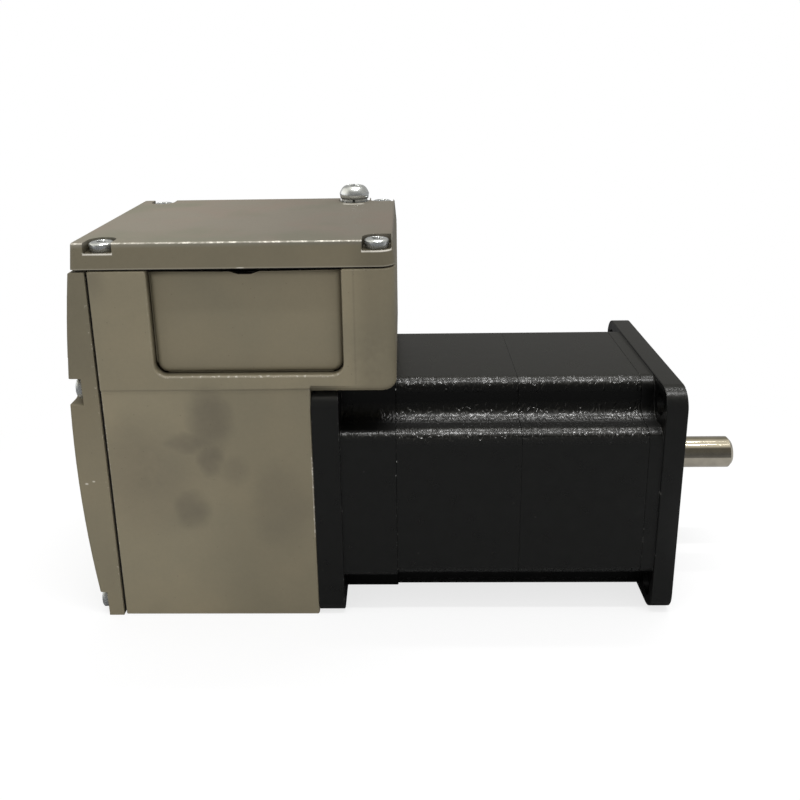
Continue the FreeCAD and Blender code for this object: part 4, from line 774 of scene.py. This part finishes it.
def black_paint(name, wrinkle, wear, gloss=0.0):
    """Black paint with wrinkles across the shaft, dust, painted shade in the corner notches and, on edges,
    rubbed spots.
    """
    looks = bpy.context.scene.motor_shell
    s = Surface(name, Specular_IOR_Level=0.32, Coat_Roughness=0.30)
    _, across, up = s.axes(s.facing)
    bend = s.ramp(abs(across * up), 0.05, 0.30)
    stretch = (looks.wrinkle_along / looks.wrinkle_round, 1.0, 1.0)
    swirl = s.node("ShaderNodeTexNoise", sockets={
        "Vector": s.scaled(looks.wrinkle_round, stretch, 1.3), "Scale": 1.0, "Detail": 0.6,
        "Distortion": 0.7}, output="Fac")
    fold = swirl * 2 - 1
    wrinkles = s.maths("SQRT", fold * fold + 0.015)
    peel = s.noise(3.5 * MM, offset=4.4)
    dust = s.dots(5.5 * MM, reach=0.05, offset=6.6) * 0.3
    rubbed = s.ramp(s.noise(1.4 * MM, detail=4.0, offset=2.9), 0.62, 0.70) * wear
    notch = (abs(s.y) < NOTCH_REACH) * (abs(s.z) < NOTCH_REACH)
    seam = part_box("stator_stack_rear")[0].x / MM
    at_seam = s.between(s.x, (seam - SEAM_BEHIND, seam + SEAM_AHEAD), 0.1)
    chip = s.ramp(s.noise(0.7 * MM, offset=7.7), 0.66, 0.72) * at_seam * wear
    # Painted shade: the paint is darker inside the corner notches.
    tint = s.lit(looks.paint, (0.85 + 0.3 * peel) * (1 - 0.8 * notch))
    dusty = s.mix(tint, looks.dust, s.most(dust, rubbed))
    s.feed("Base Color", s.mix(dusty, looks.primer, chip))
    ledge = notch * s.ramp(up, 0.90, 0.98)
    s.feed("Roughness", 0.24 + 0.10 * peel + 0.2 * rubbed - gloss * bend + 0.25 * ledge)
    s.feed("Coat Weight", bend * (0.3 * wrinkle))
    folded = wrinkles * (bend * wrinkle) * (s.x > FLANGE_FRONT)
    s.bump(folded + peel * 0.03, looks.wrinkle_height)
    return s.material


def on_shell(middle):
    """Whether an edge lies on the outside of the motor rather than in its bore."""
    across = abs(middle.y)
    up = abs(middle.z)
    bolted = math.hypot(across - BOLT_REACH, up - BOLT_REACH) < BOLT_ROOM
    return (max(across, up) > SHELL_SIDE or min(across, up) > SHELL_NOTCH) and not bolted


class MOTOR_OT_shells(MotorOperator, bpy.types.Operator):
    """Round and paint the two end bells and the two stator stacks"""
    bl_idname = "motor.shells"
    bl_label = "Motor shells"

    def execute(self, context):
        edge = context.scene.motor_shell.edge
        for node, name, wrinkle in (("front_end_bell", "front_bell", 0.12),
                                    ("rear_end_bell", "rear_bell", 0.6)):
            rounded(node, name, "bell_black", edge, black_paint(name + "_paint", wrinkle, wear=0.0),
                    black_paint(name + "_edge_paint", wrinkle, wear=1.0), on_shell)
        stack = black_paint("stack_paint", 1.0, wear=0.0, gloss=STACK_GLOSS)
        stack_edge = black_paint("stack_edge_paint", 0.8, wear=1.0, gloss=STACK_GLOSS)
        for node, name in (("stator_stack_front", "stack_front"), ("stator_stack_rear", "stack_rear")):
            rounded(node, name, "stack_black", STACK_EDGE * edge, stack, stack_edge, on_shell)
        return {"FINISHED"}


# Finishes of pieces that keep their CAD mesh

RECESS = "recess"
TURNED = (0.12, 8.0, 8.0)
STACKED = (1.0, 30.0, 30.0)
Shades = namedtuple("Shades", "tint shade")
RUBBER = Shades((0.012, 0.009, 0.007), (0.005, 0.004, 0.003))
LAMINATION = Shades((0.30, 0.29, 0.28), (0.14, 0.13, 0.125))
NICKEL = Shades((0.50, 0.48, 0.44), (0.36, 0.35, 0.32))
BEARING_STEEL = Shades((0.60, 0.60, 0.58), (0.48, 0.48, 0.46))
CAGE_STEEL = Shades((0.46, 0.44, 0.39), (0.30, 0.29, 0.26))
PLAIN_STEEL = Shades((0.42, 0.41, 0.39), (0.28, 0.27, 0.26))
ALUMINIUM = Shades((0.55, 0.55, 0.56), (0.42, 0.42, 0.43))
NYLON = Shades((0.62, 0.58, 0.46), (0.50, 0.46, 0.36))
SLEEVE = Shades((0.030, 0.028, 0.026), (0.014, 0.013, 0.013))
BOARD = Shades((0.018, 0.125, 0.048), (0.010, 0.075, 0.030))
BLACK_PLASTIC = Shades((0.016, 0.016, 0.017), (0.008, 0.008, 0.009))
SWITCH_BLUE = Shades((0.02, 0.075, 0.26), (0.014, 0.05, 0.19))
SLIDER_WHITE = Shades((0.74, 0.73, 0.69), (0.62, 0.61, 0.57))


def paint(material, *nodes):
    """Give CAD nodes a finish in the slots they have."""
    for node in nodes:
        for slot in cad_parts[node].material_slots:
            slot.material = material


def worked_metal(name, shades, size, stretch, roughness, height=0.002, uneven=1.0, metallic=1.0):
    """Machined or plated metal with marks along its working direction, with painted shade in a screw's
    recess.
    """
    s = Surface(name, Metallic=metallic)
    marks = s.noise(size * MM, detail=3.0, stretch=stretch)
    patch = s.noise(2.8 * MM, offset=5.0)
    amount = s.ramp(patch, 0.35, 0.70) * 0.6 + marks * 0.4
    recess = s.node("ShaderNodeAttribute", {"attribute_name": RECESS}, output="Fac")
    # Painted shade: the recess of a screw head is darkened.
    s.feed("Base Color", s.mix(s.mix(shades.tint, shades.shade, amount), darker(shades.shade, 0.12), recess))
    s.feed("Roughness", roughness + uneven * (0.10 * marks + 0.08 * patch) + 0.2 * recess)
    s.bump(marks, height * MM, 0.6)
    return s.material


def moulded(name, shades, size, roughness):
    """Plastic or rubber: two shades in fine grain, with a soft cloud over them."""
    s = Surface(name)
    grain = s.noise(size * MM, detail=3.0)
    cloud = s.noise(6 * MM, offset=2.0)
    amount = 0.25 + 0.5 * s.ramp(grain, 0.3, 0.7) + 0.25 * cloud
    s.feed("Base Color", s.mix(shades.shade, shades.tint, amount))
    s.feed("Roughness", roughness + 0.12 * grain)
    s.bump(grain, 0.01 * MM, 0.7)
    return s.material


class MOTOR_OT_shaft(MotorOperator, bpy.types.Operator):
    """Finish the ground output shaft"""
    bl_idname = "motor.shaft"
    bl_label = "Output shaft"

    def execute(self, context):
        steel = context.scene.motor_metal.steel
        ground = Shades(steel, darker(steel, 0.78))
        paint(worked_metal("shaft_ground", ground, 0.6, TURNED, roughness=0.07, uneven=0.4), "rotor_shaft")
        return {"FINISHED"}


class MOTOR_OT_gaskets(MotorOperator, bpy.types.Operator):
    """Finish the gaskets, the insert seals and the lead grommet"""
    bl_idname = "motor.gaskets"
    bl_label = "Gaskets and seals"

    def execute(self, context):
        rubber = moulded("gasket_rubber_black", RUBBER, 0.5, roughness=0.72)
        paint(rubber, "lid_gasket", "cover_gasket", "insert_seals", "lead_grommet")
        return {"FINISHED"}


class MOTOR_OT_rotor(MotorOperator, bpy.types.Operator):
    """Finish the toothed rotor stacks and the magnets"""
    bl_idname = "motor.rotor"
    bl_label = "Rotor"

    def execute(self, context):
        sheets = worked_metal("rotor_laminations", LAMINATION, 0.5, STACKED, roughness=0.38, height=0.01)
        paint(sheets, "rotor_stack_1", "rotor_stack_2", "rotor_stack_3", "rotor_stack_4")
        nickel = worked_metal("magnet_nickel_plate", NICKEL, 1.2, EVEN, roughness=0.24)
        paint(nickel, "rotor_magnets", "position_magnet")
        return {"FINISHED"}


class MOTOR_OT_bearings(MotorOperator, bpy.types.Operator):
    """Finish the rings, balls and cages of both bearings"""
    bl_idname = "motor.bearings"
    bl_label = "Bearings"

    def execute(self, context):
        bright = worked_metal("bearing_ground", BEARING_STEEL, 0.7, TURNED, roughness=0.14)
        pressed = worked_metal("cage_pressed", CAGE_STEEL, 0.9, EVEN, roughness=0.30)
        for end in ("front_bearing_", "rear_bearing_"):
            paint(bright, end + "outer_ring", end + "inner_ring", end + "balls")
            paint(pressed, end + "cage")
        return {"FINISHED"}


class MOTOR_OT_windings(MotorOperator, bpy.types.Operator):
    """Finish the coils, their insulators and the phase leads"""
    bl_idname = "motor.windings"
    bl_label = "Windings"

    def execute(self, context):
        copper = context.scene.motor_metal.copper
        s = Surface("winding_wire", Metallic=0.85)
        turns = s.node("ShaderNodeTexWave", {"bands_direction": "Z", "wave_profile": "SIN"}, {
            "Vector": s.scaled(0.35 * MM, EVEN, 0.0), "Scale": 0.5, "Distortion": 0.6, "Detail": 1.0}, "Fac")
        patch = s.noise(3 * MM)
        s.feed("Base Color", s.mix(darker(copper, 0.35), copper, turns * 0.7 + patch * 0.3))
        s.feed("Roughness", 0.30 + 0.15 * patch)
        s.bump(turns, 0.05 * MM)
        paint(s.material, "stator_coils")
        paint(moulded("insulator_nylon", NYLON, 0.8, roughness=0.42), "stator_insulators")
        paint(moulded("lead_sleeve_dark", SLEEVE, 0.6, roughness=0.46), "phase_leads")
        return {"FINISHED"}


class MOTOR_OT_boards(MotorOperator, bpy.types.Operator):
    """Finish the circuit boards and everything soldered to them"""
    bl_idname = "motor.boards"
    bl_label = "Boards"

    def execute(self, context):
        s = Surface("board_green", Coat_Weight=0.4)
        lanes = s.node("ShaderNodeTexBrick", {"offset": 0.37, "squash": 0.8}, {
            "Vector": s.scaled(1.6 * MM, EVEN, 3.0), "Scale": 1.0, "Mortar Size": 0.12}, "Fac")
        weave = s.noise(0.4 * MM)
        s.feed("Base Color", s.mix(BOARD.shade, BOARD.tint, 0.6 * lanes + 0.4 * weave))
        s.feed("Roughness", 0.32 + 0.1 * weave)
        s.bump(lanes, 0.02 * MM)
        paint(s.material, "power_board", "control_board", "connector_board")
        black = moulded("moulded_black", BLACK_PLASTIC, 0.4, roughness=0.44)
        paint(black, "power_transistors", "position_sensor", "controller_chip", "board_link",
              "supply_connector", "signal_connector", "bus_connector")
        can = worked_metal("capacitor_can_aluminium", ALUMINIUM, 0.8, TURNED, roughness=0.26)
        paint(can, "link_capacitors")
        brass = context.scene.motor_metal.brass
        plate = Shades(brass, darker(brass, 0.7))
        paint(worked_metal("pin_brass_plate", plate, 0.6, EVEN, roughness=0.22), "connector_pins")
        paint(moulded("switch_blue_body", SWITCH_BLUE, 0.5, roughness=0.40), "switch_body")
        white = moulded("slider_white_nylon", SLIDER_WHITE, 0.4, roughness=0.42)
        paint(white, "switch_slider_1", "switch_slider_2", "switch_slider_3", "switch_slider_4")
        return {"FINISHED"}


class MOTOR_OT_inner_fasteners(MotorOperator, bpy.types.Operator):
    """Finish the bolts, spacers, preload washer and magnet hub inside the casing"""
    bl_idname = "motor.inner_fasteners"
    bl_label = "Inner fasteners"

    def execute(self, context):
        plain = worked_metal("plain_steel_turned", PLAIN_STEEL, 0.7, TURNED, roughness=0.28)
        paint(plain, "tie_bolts", "housing_screws", "board_screws", "preload_washer", "board_spacers",
              "magnet_hub")
        return {"FINISHED"}


# Screws and washers, repeated by node trees

def new_tree(name, inputs):
    """Geometry tree with seats and named inputs; gives its graph, its input wires and their identifiers."""
    tree = bpy.data.node_groups.new(name, "GeometryNodeTree")
    tree.interface.new_socket("Seats", in_out="INPUT", socket_type="NodeSocketGeometry")
    names = {}
    for label, kind in inputs:
        socket = tree.interface.new_socket(label, in_out="INPUT", socket_type="NodeSocket" + kind)
        names[label] = socket.identifier
    tree.interface.new_socket("Pieces", in_out="OUTPUT", socket_type="NodeSocketGeometry")
    graph = Graph(tree)
    start = graph.node("NodeGroupInput").socket.node
    return graph, {socket.name: Wire(graph, socket) for socket in start.outputs if socket.name}, names


def closing(graph, given, piece, tilt, spin):
    """Set a piece on every seat, tilted and turned about its own axis, and end the tree."""
    placed = graph.node("GeometryNodeInstanceOnPoints", sockets={
        "Points": given["Seats"], "Instance": piece, "Rotation": tilt})
    turned = graph.node("GeometryNodeRotateInstances", sockets={"Instances": placed, "Rotation": spin})
    real = graph.node("GeometryNodeRealizeInstances", sockets={0: turned})
    smooth = graph.node("GeometryNodeSetShadeSmooth", sockets={0: real})
    done = graph.node("GeometryNodeSetMaterial", sockets={"Geometry": smooth, "Material": given["Finish"]})
    graph.end("NodeGroupOutput", done)


SCREW_INPUTS = (
    ("Head Radius", "Float"), ("Head Height", "Float"), ("Rim Drop", "Float"), ("Crown", "Float"),
    ("Drive Radius", "Float"), ("Drive Ripple", "Float"), ("Drive Lobes", "Float"), ("Drive Depth", "Float"),
    ("Shank Radius", "Float"), ("Shank Length", "Float"), ("Tilt", "Vector"), ("Finish", "Material"),
)
HEAD_SIDES = 72
HEAD_RINGS = 30
HEAD_FOOT = 0.95
SHANK_SIDES = 32
DRIVE_SLOPE = 0.07 * MM
SPIN_SEED = 4
RANDOM_LEAST = 2
RANDOM_MOST = 3
RANDOM_SEED = 8
RANDOM_NUMBER = 1


def screw_tree():
    """Crowned screw head with a lobed recess and a plain shank, set on every seat."""
    graph, given, names = new_tree("cover_screw", SCREW_INPUTS)
    blank = graph.node("GeometryNodeMeshCylinder", {"fill_type": "TRIANGLE_FAN"}, {
        "Vertices": HEAD_SIDES, "Side Segments": 1, "Fill Segments": HEAD_RINGS,
        "Radius": given["Head Radius"], "Depth": given["Head Height"]})
    x, y, z = graph.axes(graph.node("GeometryNodeInputPosition"))
    top = z > 0.0
    radius = graph.distance(x, y)
    wave = graph.maths("COSINE", graph.maths("ARCTAN2", y, x) * given["Drive Lobes"])
    crown = given["Head Height"] - given["Rim Drop"] * (radius / given["Head Radius"]) ** given["Crown"]
    lobes = given["Drive Radius"] + given["Drive Ripple"] * wave
    recess = (1 - graph.ramp(radius, lobes - DRIVE_SLOPE, lobes + DRIVE_SLOPE)) * top
    # Marks the recess, which the metal finish darkens as painted shade.
    marked = graph.node("GeometryNodeStoreNamedAttribute", sockets={
        "Geometry": blank, "Name": RECESS, "Value": recess})
    taper = HEAD_FOOT + (1 - HEAD_FOOT) * top
    shaped = graph.vector(x * taper, y * taper, (crown - given["Drive Depth"] * recess) * top)
    head = graph.node("GeometryNodeSetPosition", sockets={"Geometry": marked, "Position": shaped})
    rod = graph.node("GeometryNodeMeshCylinder", sockets={
        "Vertices": SHANK_SIDES, "Radius": given["Shank Radius"], "Depth": given["Shank Length"]})
    down = graph.vector(z=given["Shank Length"] * -0.5)
    shank = graph.node("GeometryNodeSetPosition", sockets={"Geometry": rod, "Offset": down})
    screw = graph.node("GeometryNodeJoinGeometry", sockets={0: [head, shank]})
    chance = graph.node("FunctionNodeRandomValue", {"data_type": "FLOAT"}, {
        RANDOM_LEAST: 0.0, RANDOM_MOST: math.tau, RANDOM_SEED: SPIN_SEED}, RANDOM_NUMBER)
    closing(graph, given, screw, given["Tilt"], graph.vector(z=chance))
    return graph.tree, names


TOOTH_INPUTS = (
    ("Teeth", "Int"), ("Ring Radius", "Float"), ("Ring Width", "Float"), ("Tooth Reach", "Float"),
    ("Tooth Width", "Float"), ("Thickness", "Float"), ("Twist", "Float"), ("Lift", "Float"),
    ("Finish", "Material"),
)
RING_SIDES = 96


def toothed_washer_tree():
    """Flat ring with twisted teeth round its outside."""
    graph, given, names = new_tree("toothed_washer", TOOTH_INPUTS)
    circle = graph.node("GeometryNodeCurvePrimitiveCircle", sockets={
        "Resolution": RING_SIDES, "Radius": given["Ring Radius"]})
    bar = graph.node("GeometryNodeCurvePrimitiveQuadrilateral", sockets={
        "Width": given["Ring Width"], "Height": given["Thickness"]})
    ring = graph.node("GeometryNodeCurveToMesh", sockets={"Curve": circle, "Profile Curve": bar})
    spots = graph.node("GeometryNodeMeshCircle", sockets={
        "Vertices": given["Teeth"], "Radius": given["Ring Radius"] + given["Tooth Reach"] * 0.5})
    size = graph.vector(given["Tooth Reach"], given["Tooth Width"], given["Thickness"])
    blade = graph.node("GeometryNodeMeshCube", sockets={"Size": size})
    step = math.tau / given["Teeth"]
    turn = graph.vector(x=given["Twist"], z=graph.node("GeometryNodeInputIndex") * step)
    teeth = graph.node("GeometryNodeInstanceOnPoints", sockets={
        "Points": spots, "Instance": blade, "Rotation": turn})
    washer = graph.node("GeometryNodeJoinGeometry", sockets={0: [ring, teeth]})
    real = graph.node("GeometryNodeRealizeInstances", sockets={0: washer})
    lifted = graph.node("GeometryNodeSetPosition", sockets={
        "Geometry": real, "Offset": graph.vector(z=given["Lift"])})
    closing(graph, given, lifted, UNTURNED, UNTURNED)
    return graph.tree, names


def grown(name, slot, node, seats, grower, values):
    """Piece that a node tree grows on the seats, in place of a CAD node."""
    tree, names = grower
    mesh = bpy.data.meshes.new(name)
    mesh.from_pydata(seats, [], [])
    piece = added(name, mesh)
    modifier = piece.modifiers.new("tree", "NODES")
    modifier.node_group = tree
    for label, value in values.items():
        modifier[names[label]] = value
    stand_for(settled(piece), slot, node)


def zinc_finish(name):
    metal = bpy.context.scene.motor_metal
    zinc = Shades(metal.zinc, metal.zinc_shade)
    return worked_metal(name, zinc, 0.5, EVEN, roughness=0.18, height=0.004, metallic=0.85)


def inset(low, high, reach):
    """The two places that lie inside a stretch by the reach."""
    return (low + reach, high - reach)


COVER_SCREW = {
    "Head Radius": 2.7 * MM, "Head Height": 2.1 * MM, "Crown": 7.0, "Shank Radius": 1.5 * MM,
    "Shank Length": 10.0 * MM,
}
BACKWARDS = (0.0, -math.pi / 2, 0.0)
EARTH_SCREW = {
    "Head Radius": 3.95 * MM, "Head Height": 3.5 * MM, "Crown": 5.0, "Shank Radius": 2.0 * MM,
    "Shank Length": 5.4 * MM, "Tilt": UNTURNED,
}
TOOTH_RING = 2.7 * MM
TOOTHED_WASHER = {
    "Ring Radius": TOOTH_RING, "Ring Width": 0.9 * MM, "Tooth Width": 1.25 * MM, "Thickness": 0.3 * MM,
    "Twist": math.radians(30),
}


class MOTOR_OT_cover_screws(MotorOperator, bpy.types.Operator):
    """Grow the screws of the lid and of the rear cover"""
    bl_idname = "motor.cover_screws"
    bl_label = "Cover screws"

    def execute(self, context):
        sizes = context.scene.motor_screws
        tree = screw_tree()
        screw = {**COVER_SCREW, "Rim Drop": sizes.rim_drop, "Drive Radius": sizes.drive_radius,
                 "Drive Ripple": sizes.drive_ripple, "Drive Lobes": float(sizes.drive_lobes),
                 "Drive Depth": sizes.drive_depth, "Finish": zinc_finish("screw_zinc")}
        reach = screw["Head Radius"]
        tall = screw["Head Height"]
        low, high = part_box("lid_screws")
        seats = [(x, y, high.z - tall) for x in inset(low.x, high.x, reach)
                 for y in inset(low.y, high.y, reach)]
        grown("screws_lid", "zinc_screws", "lid_screws", seats, tree, {**screw, "Tilt": UNTURNED})
        low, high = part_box("rear_cover_screws")
        seats = [(low.x + tall, y, z) for y in inset(low.y, high.y, reach)
                 for z in inset(low.z, high.z, reach)]
        grown("screws_cover", "zinc_screws", "rear_cover_screws", seats, tree, {**screw, "Tilt": BACKWARDS})
        return {"FINISHED"}


class MOTOR_OT_earth_terminal(MotorOperator, bpy.types.Operator):
    """Grow the earth screw and its toothed washer, and finish its spring washer"""
    bl_idname = "motor.earth_terminal"
    bl_label = "Earth terminal"

    def execute(self, context):
        sizes = context.scene.motor_screws
        finish = zinc_finish("earth_zinc")
        low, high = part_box("earth_screw")
        middle = (low + high) / 2
        seat = (middle.x, middle.y, high.z - EARTH_SCREW["Head Height"])
        grown("screw_earth", "zinc_screws", "earth_screw", [seat], screw_tree(), {
            **EARTH_SCREW, "Rim Drop": sizes.earth_drop, "Drive Radius": sizes.earth_drive,
            "Drive Ripple": sizes.earth_ripple, "Drive Lobes": float(sizes.earth_arms),
            "Drive Depth": sizes.earth_depth, "Finish": finish})
        low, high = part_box("earth_tooth_washer")
        middle = (low + high) / 2
        seat = (middle.x, middle.y, low.z)
        grown("washer_toothed", "zinc_screws", "earth_tooth_washer", [seat], toothed_washer_tree(), {
            **TOOTHED_WASHER, "Teeth": sizes.washer_teeth, "Tooth Reach": (high.x - low.x) / 2 - TOOTH_RING,
            "Lift": (high.z - low.z) / 2, "Finish": finish})
        paint(finish, "earth_spring_washer")
        return {"FINISHED"}


# Stage

FLOOR_SIDE = 6.0
WHITE_FROM = 0.04
WHITE_TO = 0.13
WHITE_LEAST = 0.75
ALONG_WEIGHT = 0.5
AHEAD_X = (6, 18)
AHEAD_Y = (-90, -60)
CEILING = (1.0, 0.97, 0.86)
SENSOR_WIDTH = 36.0
CLIP_START = 0.01


def floor_material(tint, mirrored, mirrored_front):
    """Pale floor that keeps the shadow near the object and is plain white for the camera further out."""
    material = bpy.data.materials.new("stage_floor")
    graph = Graph(emptied(material))
    x, y, _ = graph.axes(graph.node("ShaderNodeTexCoord", output="Object"))
    middle = (cad_box[0] + cad_box[1]) / 2
    along = x - middle.x
    across = y - middle.y
    away = graph.maths("SQRT", along * along * ALONG_WEIGHT + across * across)
    seen = graph.node("ShaderNodeLightPath", output="Is Camera Ray")
    glossy = graph.node("ShaderNodeLightPath", output="Is Glossy Ray")
    ahead = graph.rise(x, AHEAD_X) * graph.rise(y, AHEAD_Y)
    shown = graph.mix(darker(tint, mirrored), darker(tint, mirrored_front), ahead)
    matt = graph.node("ShaderNodeBsdfDiffuse", sockets={"Color": graph.mix(tint, shown, glossy)})
    white = graph.node("ShaderNodeEmission", sockets={"Color": rgba(WHITE), "Strength": 1.0})
    fade = WHITE_LEAST + (1 - WHITE_LEAST) * graph.ramp(away, WHITE_FROM, WHITE_TO)
    both = graph.node("ShaderNodeMixShader", sockets={0: seen * fade, 1: matt, 2: white})
    graph.end("ShaderNodeOutputMaterial", both)
    return material


def room_light(level, mirrored):
    """White to the camera, even to matt surfaces; reflections show it darker on the camera's side."""
    world = bpy.data.worlds.new("studio")
    bpy.context.scene.world = world
    graph = Graph(emptied(world))
    x, y, z = graph.axes(graph.node("ShaderNodeTexCoord", output="Generated"))
    front = graph.ramp(-y, 0.1, 0.6) * (1 - graph.ramp(z, 0.70, 0.90))
    above = 2.2 * graph.ramp(z, 0.65, 0.95)
    behind = 3.5 * graph.ramp(-x, 0.45, 0.85)
    shown = mirrored * (1.0 + above + behind) * (1 - 0.6 * front)
    seen = graph.node("ShaderNodeLightPath", output="Is Camera Ray")
    glossy = graph.node("ShaderNodeLightPath", output="Is Glossy Ray")
    strength = seen + (1 - seen) * (level + glossy * (shown - level))
    warm = graph.mix(WHITE, CEILING, glossy * graph.ramp(z, 0.0, 0.5))
    light = graph.node("ShaderNodeBackground", sockets={"Color": warm, "Strength": strength})
    graph.end("ShaderNodeOutputWorld", light)


def add_floor(setup):
    half = FLOOR_SIDE / 2
    level = cad_box[0].z
    corners = [(-half, -half, level), (half, -half, level), (half, half, level), (-half, half, level)]
    mesh = bpy.data.meshes.new("floor")
    mesh.from_pydata(corners, [], [(0, 1, 2, 3)])
    mesh.materials.append(floor_material(setup.floor, setup.mirrored_floor, setup.mirrored_front))
    floor = added("floor", mesh)


def add_strips(setup):
    """Two ceiling strips along the shaft, which draw the bright lines on everything rounded."""
    for name, across, watts in (("strip_front", setup.strip_front, setup.front_power),
                                ("strip_back", setup.strip_back, setup.back_power)):
        light = bpy.data.lights.new(name, "AREA")
        light.shape = "RECTANGLE"
        light.size = setup.strip_length
        light.size_y = setup.strip_width
        light.energy = watts
        tilt = math.atan2(across, setup.strip_height)
        place = Vector((setup.strip_along, across, setup.strip_height))
        added(name, light).matrix_world = Matrix.Translation(place) @ Matrix.Rotation(-tilt, 4, "X")


def add_camera(setup):
    level = math.cos(setup.pitch)
    ahead = Vector((math.sin(setup.yaw) * level, math.cos(setup.yaw) * level, -math.sin(setup.pitch)))
    right = Vector((math.cos(setup.yaw), -math.sin(setup.yaw), 0.0))
    above = right.cross(ahead)
    across = right * math.cos(setup.roll) + above * math.sin(setup.roll)
    upright = above * math.cos(setup.roll) - right * math.sin(setup.roll)
    turn = Matrix((across, upright, -ahead)).transposed().to_4x4()
    lens = bpy.data.cameras.new("camera")
    lens.sensor_width = SENSOR_WIDTH
    lens.lens = setup.lens
    lens.shift_x, lens.shift_y = setup.shift
    lens.clip_start = CLIP_START
    camera = added("camera", lens)
    camera.matrix_world = Matrix.Translation(setup.place) @ turn
    bpy.context.scene.camera = camera


class MOTOR_OT_stage(MotorOperator, bpy.types.Operator):
    """Set up the floor, the light and the camera"""
    bl_idname = "motor.stage"
    bl_label = "Stage"

    def execute(self, context):
        setup = context.scene.motor_stage
        context.scene.view_settings.view_transform = "Standard"
        add_floor(setup)
        add_strips(setup)
        room_light(setup.room, setup.mirrored_room)
        add_camera(setup)
        return {"FINISHED"}


# Add-on

OPERATORS = (
    MOTOR_OT_castings, MOTOR_OT_shells, MOTOR_OT_shaft, MOTOR_OT_cover_screws, MOTOR_OT_earth_terminal,
    MOTOR_OT_gaskets, MOTOR_OT_rotor, MOTOR_OT_bearings, MOTOR_OT_windings, MOTOR_OT_boards,
    MOTOR_OT_inner_fasteners, MOTOR_OT_stage,
)
GROUPS = {
    "motor_castings": CastingLooks, "motor_shell": MotorLooks, "motor_metal": MetalLooks,
    "motor_screws": ScrewSizes, "motor_stage": StageSetup,
}


class MOTOR_PT_looks(bpy.types.Panel):
    """Steps that dress and stage the motor, in the order they are run"""
    bl_label = "Integrated stepper motor"
    bl_idname = "MOTOR_PT_looks"
    bl_space_type = "VIEW_3D"
    bl_region_type = "UI"
    bl_category = "Motor"

    def draw(self, context):
        for operator in OPERATORS:
            self.layout.operator(operator.bl_idname)
        for group in GROUPS:
            settings = getattr(context.scene, group)
            for name in settings.bl_rna.properties.keys():
                if name not in ("rna_type", "name"):
                    self.layout.prop(settings, name)


def register():
    for group, kind in GROUPS.items():
        bpy.utils.register_class(kind)
        setattr(bpy.types.Scene, group, PointerProperty(type=kind))
    for operator in OPERATORS:
        bpy.utils.register_class(operator)
    bpy.utils.register_class(MOTOR_PT_looks)


def unregister():
    bpy.utils.unregister_class(MOTOR_PT_looks)
    for operator in reversed(OPERATORS):
        bpy.utils.unregister_class(operator)
    for group, kind in GROUPS.items():
        delattr(bpy.types.Scene, group)
        bpy.utils.unregister_class(kind)


def main():
    register()
    for operator in OPERATORS:
        step = operator.bl_idname.split(".")[1]
        getattr(bpy.ops.motor, step)()


if __name__ == "__main__":
    main()
